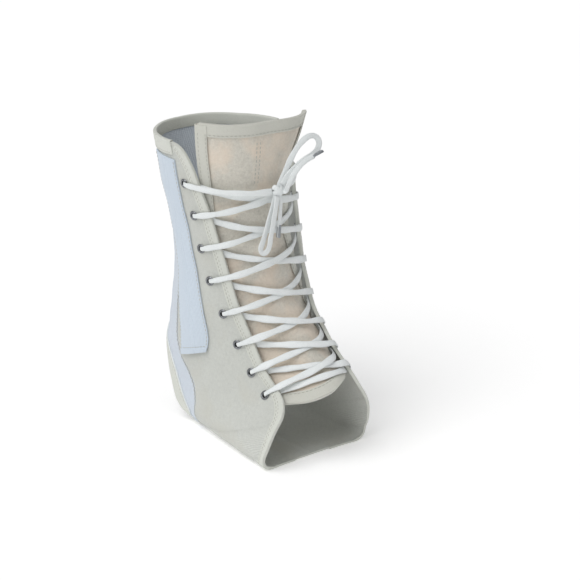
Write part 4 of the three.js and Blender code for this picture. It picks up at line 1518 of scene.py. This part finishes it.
    def knot(self) -> bpy.types.Object:
        """The knot: two turns of the lace drawn tight over a core.

        Returns:
            The piece.
        """
        centre = self.knot_centre()
        turn = np.linspace(0, 2 * math.pi, 49)
        parts = []
        for name, tilt, radii, width in (
            ("knot_turn", 0.45, (3.8, 3.0), 4.4), ("knot_cross", -0.75, (4.1, 2.5), 4.0),
        ):
            flat = np.stack([radii[0] * np.cos(turn), radii[1] * np.sin(turn), 0 * turn], axis=-1)
            c, s = math.cos(tilt), math.sin(tilt)
            spin = np.array([[c, 0, -s], [0, 1, 0], [s, 0, c]])
            line = flat @ spin.T + centre
            across = np.tile(np.array([0, 0, 1.0]) @ spin.T, (len(line), 1))
            parts.append(band_piece(name, line, across, np.full(49, width), np.full(49, 1.7)))
        clear_selection()
        bpy.ops.mesh.primitive_uv_sphere_add(segments=20, ring_count=12, radius=0.5 * MM)
        core = bpy.context.object
        shape = Matrix.Diagonal((6.4, 4.4, 7.6, 1))
        core.data.transform(Matrix.Translation(Vector(to_scene(centre))) @ shape)
        for part in (*parts, core):
            part.select_set(True)
        bpy.context.view_layer.objects.active = core
        bpy.ops.object.join()
        core.name = "lace_knot"
        core.data.name = "lace_knot"
        core.data.shade_smooth()
        return core

    def build(self) -> None:
        """Makes the bow first, then the knot and the held lace."""
        tail = self.tip_length
        upper_end, upper_line = self.free("bow_upper_end", BOW_UPPER_END, 3.6, (-0.1, -0.8, 0.6), tail)
        lower_end, lower_line = self.free("bow_lower_end", BOW_LOWER_END, 3.4, (0.1, -1.0, 0.2), tail)
        tips = {}
        for name, piece, line in (("upper", upper_end, upper_line), ("lower", lower_end, lower_line)):
            tip = self.tip(f"lace_tip_{name}", line)
            tips[name] = dress(tip, LACE_TIP, [f"lace_tip_{name}"])
            dress(piece, LACE, [f"bow_{name}_end"])
            float(run_lengths(line)[-1])
        for name, points, facing in (
            ("upper", BOW_UPPER_LOOP, (-0.35, -1.0, 0.25)), ("lower", BOW_LOWER_LOOP, (0.12, -0.95, 0.3)),
        ):
            piece, line = self.free(f"bow_{name}_loop", points, 4.2, facing)
            dress(piece, LACE, [f"bow_{name}_loop"])
            float(run_lengths(line)[-1])
        dress(self.knot(), LACE, ["lace_knot"])
        dress(self.held(), LACE, ["lace"])
        LOG.info("lacing done")


@dataclass
class Eyelet:
    """A rolled nickel eyelet, modelled once and copied."""

    hole: float = 1.95
    flange: float = 3.25
    seat: float = -1.8
    wall: float = 0.3

    def model(self) -> bpy.types.Mesh:
        """The eyelet about the Z axis, its flange on the canvas face at zero.

        Returns:
            The mesh.
        """
        clear_selection()
        bpy.ops.mesh.primitive_cylinder_add(
            vertices=32, radius=self.hole * MM, depth=0.4 * MM, end_fill_type="NOTHING",
            location=(0, 0, (self.seat + 0.2) * MM),
        )
        piece = bpy.context.object
        bpy.ops.object.transform_apply(location=True, rotation=False, scale=False)
        profile = [
            (self.hole, 0.35), (self.hole + 0.12, 0.72), (self.hole + 0.34, 0.92),
            (self.hole + 0.68, 0.90), (self.flange - 0.15, 0.66), (self.flange, 0.40),
            (self.flange - 0.05, 0.22),
        ]
        mesh = piece.data
        top = max(v.co.z for v in mesh.vertices)
        bpy.ops.object.mode_set(mode="EDIT")
        bpy.ops.mesh.select_mode(type="EDGE")
        bpy.ops.mesh.select_all(action="DESELECT")
        bpy.ops.object.mode_set(mode="OBJECT")
        for edge in mesh.edges:
            edge.select = all(mesh.vertices[i].co.z > top - 1e-6 for i in edge.vertices)
        bpy.ops.object.mode_set(mode="EDIT")
        radius, height = self.hole, top / MM
        for next_radius, next_height in profile:
            bpy.ops.mesh.extrude_edges_move(
                TRANSFORM_OT_translate={"value": (0, 0, (next_height - height) * MM)}
            )
            grow = next_radius / radius
            bpy.ops.transform.resize(value=(grow, grow, 1.0), center_override=(0, 0, 0))
            radius, height = next_radius, next_height
        bpy.ops.mesh.select_all(action="SELECT")
        bpy.ops.mesh.normals_make_consistent(inside=False)
        bpy.ops.object.mode_set(mode="OBJECT")
        apply_modifier(piece, "SOLIDIFY", thickness=self.wall * MM, offset=0.0)
        apply_modifier(piece, "SUBSURF", levels=1, render_levels=1)
        kept = piece.data.copy()
        bpy.data.objects.remove(piece)
        return kept

    def place(self, mesh: bpy.types.Mesh, side: Side, k: int) -> bpy.types.Object:
        """A copy of the eyelet in its hole.

        Args:
            mesh: the eyelet about the Z axis.
            side: the half that it belongs to.
            k: its number down the row, from 0.

        Returns:
            The piece.
        """
        station, angle = eyelet_place(side, k)
        out = FORM.directions(station, angle, side.value)[2]
        at = FORM.cloth(station, angle, side.value, 0.0)
        copy = mesh.copy()
        turn = Vector(out).to_track_quat("Z", "Y").to_matrix().to_4x4()
        copy.transform(Matrix.Translation(Vector(to_scene(at))) @ turn)
        copy.shade_smooth()
        piece = bpy.data.objects.new(f"{side.word}_eyelet_{k + 1}", copy)
        bpy.context.scene.collection.objects.link(piece)
        return piece


@dataclass
class BraceHalf:
    """One half of the brace: quarter, bindings, hem, elastic, stay pocket and eyelets."""

    side: Side
    canvas_thick: float = 1.5
    binding_width: float = BINDING_WIDTH
    hem_width: float = 9.0
    heel_tape_width: float = 5.0
    band_width: float = 9.5
    elastic_inset: float = 0.3
    elastic_thick: float = 1.2
    webbing_thick: float = 1.3
    webbing_crown: float = 1.1
    stitch_inset: float = 1.3
    pocket_stitch_depth: float = 0.22

    def pocket_face(self, station: Array, share: Array) -> Array:
        """Height of the pocket's face: crowned over the stay, sewn down twice and folded at its end.

        Args:
            station: places down the pocket.
            share: from its front (0) to its rear edge (1).

        Returns:
            Millimetres over the canvas.
        """
        seams = sum(np.exp(-(((share - line) / 0.018) ** 2)) for line in (0.36, 0.48))
        fold = 0.5 * ease(station, 7.05, 7.09)
        tucked = ease(station, 1.30, 2.1)
        crown = self.webbing_crown * tucked * np.sin(math.pi * share) ** 0.8
        return 0.1 + self.webbing_thick + crown - self.pocket_stitch_depth * seams + fold

    def build(self, stitcher: Stitcher, eyelet: bpy.types.Mesh) -> None:
        """Makes and dresses the pieces of this half.

        Args:
            stitcher: sews the seams.
            eyelet: the eyelet about the Z axis.
        """
        side, word = self.side, self.side.word
        sheet, elastic = quarter_sheet(side), elastic_sheet(side)
        hem, pocket = hem_sheet(side), pocket_sheet(side)
        count = len(EYELETS["rib"])
        holes = []
        for k in range(count):
            station, angle = eyelet_place(side, k)
            axis = FORM.directions(station, angle, side.value)[2]
            holes.append((FORM.point(station, angle, side.value), axis))
        ribs = np.concatenate([np.linspace(0, 16, 220), np.linspace(16, 26, 70)[1:]])
        shares = np.linspace(0, 1, 84)
        quarter = dress(
            cloth_piece(f"{word}_quarter", sheet, ribs, shares, 0.0, self.canvas_thick, holes=holes),
            CANVAS, [f"{word}_quarter"],
        )
        binding_rows = np.linspace(0.0, 25.6, 280)
        first_widths = lerp(2.0, self.binding_width, ease(binding_rows, 0.0, 1.8))
        binding = dress(
            TapeFold(self.binding_width, self.canvas_thick).piece(
                f"{word}_front_binding", sheet, binding_rows, widths=first_widths),
            TAPE, [f"{word}_front_binding"],
        )
        hem_places = np.concatenate([np.linspace(0, 0.04, 8), np.linspace(0.04, 1, 84)[1:]])
        top = dress(
            TapeFold(self.hem_width, self.canvas_thick, inner=7.0).piece(
                f"{word}_top_hem", hem, hem_places, lifts=-0.3 * (1 - ease(hem_places, 0.0, 0.03))),
            TAPE, [f"{word}_top_hem"],
        )
        back_face = -self.elastic_inset
        rear = dress(
            cloth_piece(
                f"{word}_heel_elastic", elastic, np.linspace(0, 20, 200), np.linspace(0, 1, 44),
                back_face, self.elastic_thick,
            ),
            ELASTIC, [f"{word}_heel_elastic"],
        )

        def from_rear(rib: Array, share: Array, offset: Array | float) -> Array:
            """The elastic from its rear edge, with offsets from its own face."""
            return elastic(rib, 1 - share, offset - self.elastic_inset)

        heel_rows = np.linspace(10.2, 20.0, 120)
        ends = [elastic(heel_rows, np.full(heel_rows.shape, v), back_face) for v in np.linspace(0, 1, 12)]
        whole = run_lengths(np.array(ends))[-1]
        widths = np.clip(whole - self.band_width, self.heel_tape_width, 13.0)
        LOG.info("%s elastic is %.1f to %.1f mm across", word, whole.min(), whole.max())
        heel = dress(
            TapeFold(self.heel_tape_width, self.elastic_thick, inner=4.0).piece(
                f"{word}_heel_binding", from_rear, heel_rows, widths=widths),
            TAPE, [f"{word}_heel_binding"],
        )
        heel_per = self.per_share(from_rear, heel_rows)
        line = from_rear(heel_rows, (widths + 0.7) / heel_per, np.full(heel_rows.shape, 0.35))
        aside = line - from_rear(heel_rows, widths / heel_per, np.full(heel_rows.shape, 0.35))
        wide, thick = np.full(len(line), 1.3), np.full(len(line), 1.1)
        piping = dress(
            band_piece(f"{word}_heel_piping", line, aside, wide, thick, 8),
            LACE,
        )
        stay = dress(
            cloth_piece(
                f"{word}_stay_pocket", pocket, np.linspace(1.34, 7.30, 220), np.linspace(0, 1, 50),
                self.pocket_face, self.webbing_thick, edge=0.35,
            ),
            WEBBING, [f"{word}_stay_pocket"],
        )
        for k in range(count):
            dress(Eyelet().place(eyelet, side, k), NICKEL, [f"{word}_eyelet_{k + 1}"])
        seams = Seams()
        per = self.per_share(sheet, binding_rows)
        for inset in (self.stitch_inset, 2.9):
            seams.line(sheet, binding_rows, np.maximum(first_widths - inset, 0.4) / per, 0.82)
        hem_rows = np.linspace(0.02, 0.995, 200)
        hem_per = self.per_share(hem, hem_rows)
        seams.line(hem, hem_rows, (self.hem_width - self.stitch_inset) / hem_per, 0.80)
        stay_rows = np.linspace(1.36, 7.26, 300)
        for share in (0.035, 0.965):
            seams.line(pocket, stay_rows, share, 1.6)
        end_row = np.linspace(0.04, 0.96, 40)

        def over_pocket(share: Array, station: Array, offset: Array) -> Array:
            """The pocket's own face, with the share across it first."""
            return pocket(station, share, self.pocket_face(station, share) + offset)

        seams.line(over_pocket, end_row, 7.02, 0.05)
        seams.line(from_rear, heel_rows, (widths - self.stitch_inset) / heel_per, 0.80)
        join = np.linspace(0.6, 20, 300)
        seams.zigzag(elastic, join, 0.02, 0.05, 0.015, 1.6)
        thread = dress(seams.sew(f"{word}_stitching", stitcher), SHADED_THREAD)
        LOG.info("%s half done", word)

    @staticmethod
    def per_share(sheet: Sheet, along: Array) -> Array:
        """Millimetres across a sheet for a share of one, near its edge."""
        edge, near = (sheet(along, np.full(along.shape, v), np.zeros(along.shape)) for v in (0.0, NEAR))
        return np.linalg.norm(near - edge, axis=-1) / NEAR

    @staticmethod
    def flat_area(piece: bpy.types.Object) -> float:
        """Half of a piece's surface, which is the flat area that it was cut to."""
        return 0.5 * sum(face.area for face in piece.data.polygons)


@dataclass
class TonguePieces:
    """The flannel tongue under the lacing, with tape round it."""

    thick: float = 1.8
    tape_width: float = 8.0

    def build(self, stitcher: Stitcher) -> None:
        """Makes and dresses the tongue, its tapes and its stitching.

        Args:
            stitcher: sews the seams.
        """
        rows, columns = np.linspace(0, 1, 190), np.linspace(0, 1, 96)
        tongue = dress(
            cloth_piece("tongue", TONGUE.by_length, rows, columns, 0.0, self.thick, edge=0.4),
            FLANNEL, ["tongue"],
        )

        def from_side(flip: bool) -> Sheet:
            """The tongue from its outer or, flipped, its inner side."""
            return lambda row, column, offset: TONGUE.by_length(row, 1 - column if flip else column, offset)

        def from_end(flip: bool) -> Sheet:
            """The tongue from its upper or, flipped, its lower end."""
            return lambda column, row, offset: TONGUE.by_length(1 - row if flip else row, column, offset)

        seams = Seams(pitch=3.0)
        for name, sheet, along, lift in (
            ("tongue_top_tape", from_end(False), np.linspace(0.02, 1, 110), 0.0),
            ("tongue_lower_tape", from_end(True), np.linspace(0, 1, 110), 0.0),
            ("tongue_lateral_tape", from_side(False), np.linspace(0, 0.97, 200), 0.45),
            ("tongue_medial_tape", from_side(True), np.linspace(0.0, 0.97, 200), 0.3),
        ):
            fold = TapeFold(self.tape_width, self.thick, inner=6.0, lift=lift)
            # The tongue's tapes take the darker copy of the tape: painted shade.
            dress(fold.piece(name, sheet, along), SHADED_TONGUE_TAPE, [name])
            inner = along[4:-4]
            per = BraceHalf.per_share(sheet, inner)
            for across in (1.4, self.tape_width - 1.0) if "lateral" in name else (self.tape_width - 1.4,):
                seams.line(sheet, inner, across / per, 0.92 + lift)
        down = np.linspace(0.048, 0.16, 30)
        for across in (0.505, 0.54):
            seams.line(TONGUE.by_length, down, across, 0.08)
        stitching = dress(seams.sew("tongue_stitching", stitcher), SHADED_THREAD)
        BraceHalf.flat_area(tongue)
        LOG.info("tongue done")


@dataclass(frozen=True)
class Studio:
    """Camera, lights and floor."""

    azimuth: float = -38.0
    elevation: float = 21.0
    distance: float = 1.7
    target: tuple[float, float, float] = (0.0, -20.0, 105.0)
    pixel: tuple[float, float] = (254.0, 288.0)
    pixels_per_mm: float = 1.42
    frame_pixels: int = 580
    sensor: float = 36.0
    sun_from: tuple[float, float, float] = (-0.56, -0.02, 0.83)
    sun_energy: float = 1.75
    sun_spread: float = 50.0
    world_light: float = 0.36
    floor_size: float = 12.0
    floor_glow: float = 0.24

    def camera(self) -> None:
        """The camera at the photograph's viewing angle."""
        a, e = math.radians(self.azimuth), math.radians(self.elevation)
        back = Vector((math.sin(a) * math.cos(e), -math.cos(a) * math.cos(e), math.sin(e)))
        data = bpy.data.cameras.new("camera")
        data.sensor_width = self.sensor
        data.lens = self.sensor * self.pixels_per_mm * self.distance / MM / self.frame_pixels
        data.shift_x = (self.frame_pixels / 2 - self.pixel[0]) / self.frame_pixels
        data.shift_y = (self.pixel[1] - self.frame_pixels / 2) / self.frame_pixels
        data.clip_end = 50.0
        camera = bpy.data.objects.new("camera", data)
        camera.location = Vector(to_scene(np.array(self.target))) + back * self.distance
        camera.rotation_mode = "QUATERNION"
        camera.rotation_quaternion = (-back).to_track_quat("-Z", "Y")
        bpy.context.scene.collection.objects.link(camera)
        bpy.context.scene.camera = camera

    def sun(self, towards: tuple[float, float, float], energy: float, spread: float) -> None:
        """Wide soft light from one direction, which leaves the floor evenly lit.

        Args:
            towards: where the light comes from.
            energy: in watts per square metre.
            spread: in degrees.
        """
        data = bpy.data.lights.new("key", "SUN")
        data.energy = energy
        data.angle = math.radians(spread)
        lamp = bpy.data.objects.new("key", data)
        lamp.location = towards
        lamp.rotation_mode = "QUATERNION"
        lamp.rotation_quaternion = (-Vector(towards)).to_track_quat("-Z", "Y")
        bpy.context.scene.collection.objects.link(lamp)

    def build(self) -> None:
        """Makes the room round the brace."""
        self.sun(self.sun_from, self.sun_energy, self.sun_spread)
        world = bpy.data.worlds.new("studio")
        world.use_nodes = True
        sky = world.node_tree.nodes["Background"]
        sky.inputs["Color"].default_value = (1.0, 1.0, 1.0, 1.0)
        sky.inputs["Strength"].default_value = self.world_light
        bpy.context.scene.world = world
        bpy.context.scene.view_settings.view_transform = "Standard"
        clear_selection()
        bpy.ops.mesh.primitive_plane_add(size=self.floor_size)
        floor = bpy.context.object
        floor.name = "floor"
        paint = bpy.data.materials.new("matt_white_floor")
        paint.use_nodes = True
        tree = paint.node_tree
        spot = add_node(tree, "ShaderNodeTexCoord").outputs["Object"]
        grain = add_node(tree, "ShaderNodeTexNoise", {"Vector": spot, "Scale": 3.0}).outputs[0]
        mixed = {0: grain, 6: linear("#fafafa"), 7: linear("#fdfdfd")}
        colour = add_node(tree, "ShaderNodeMix", mixed, data_type="RGBA").outputs[2]
        shader = tree.nodes["Principled BSDF"]
        tree.links.new(colour, shader.inputs["Base Color"])
        shader.inputs["Roughness"].default_value = 0.9
        shader.inputs["Emission Color"].default_value = (1.0, 1.0, 1.0, 1.0)
        shader.inputs["Emission Strength"].default_value = self.floor_glow
        floor.data.materials.append(paint)


def main() -> None:
    """Builds the camera and the cords first, then the brace, and reports each piece."""
    logging.basicConfig(level=logging.INFO, format="%(name)s: %(message)s")
    studio = Studio()
    studio.camera()
    Lacing().build()
    stitcher = Stitcher()
    eyelet = Eyelet().model()
    for side in Side:
        BraceHalf(side).build(stitcher, eyelet)
    TonguePieces().build(stitcher)
    studio.build()


if __name__ == "__main__":
    main()
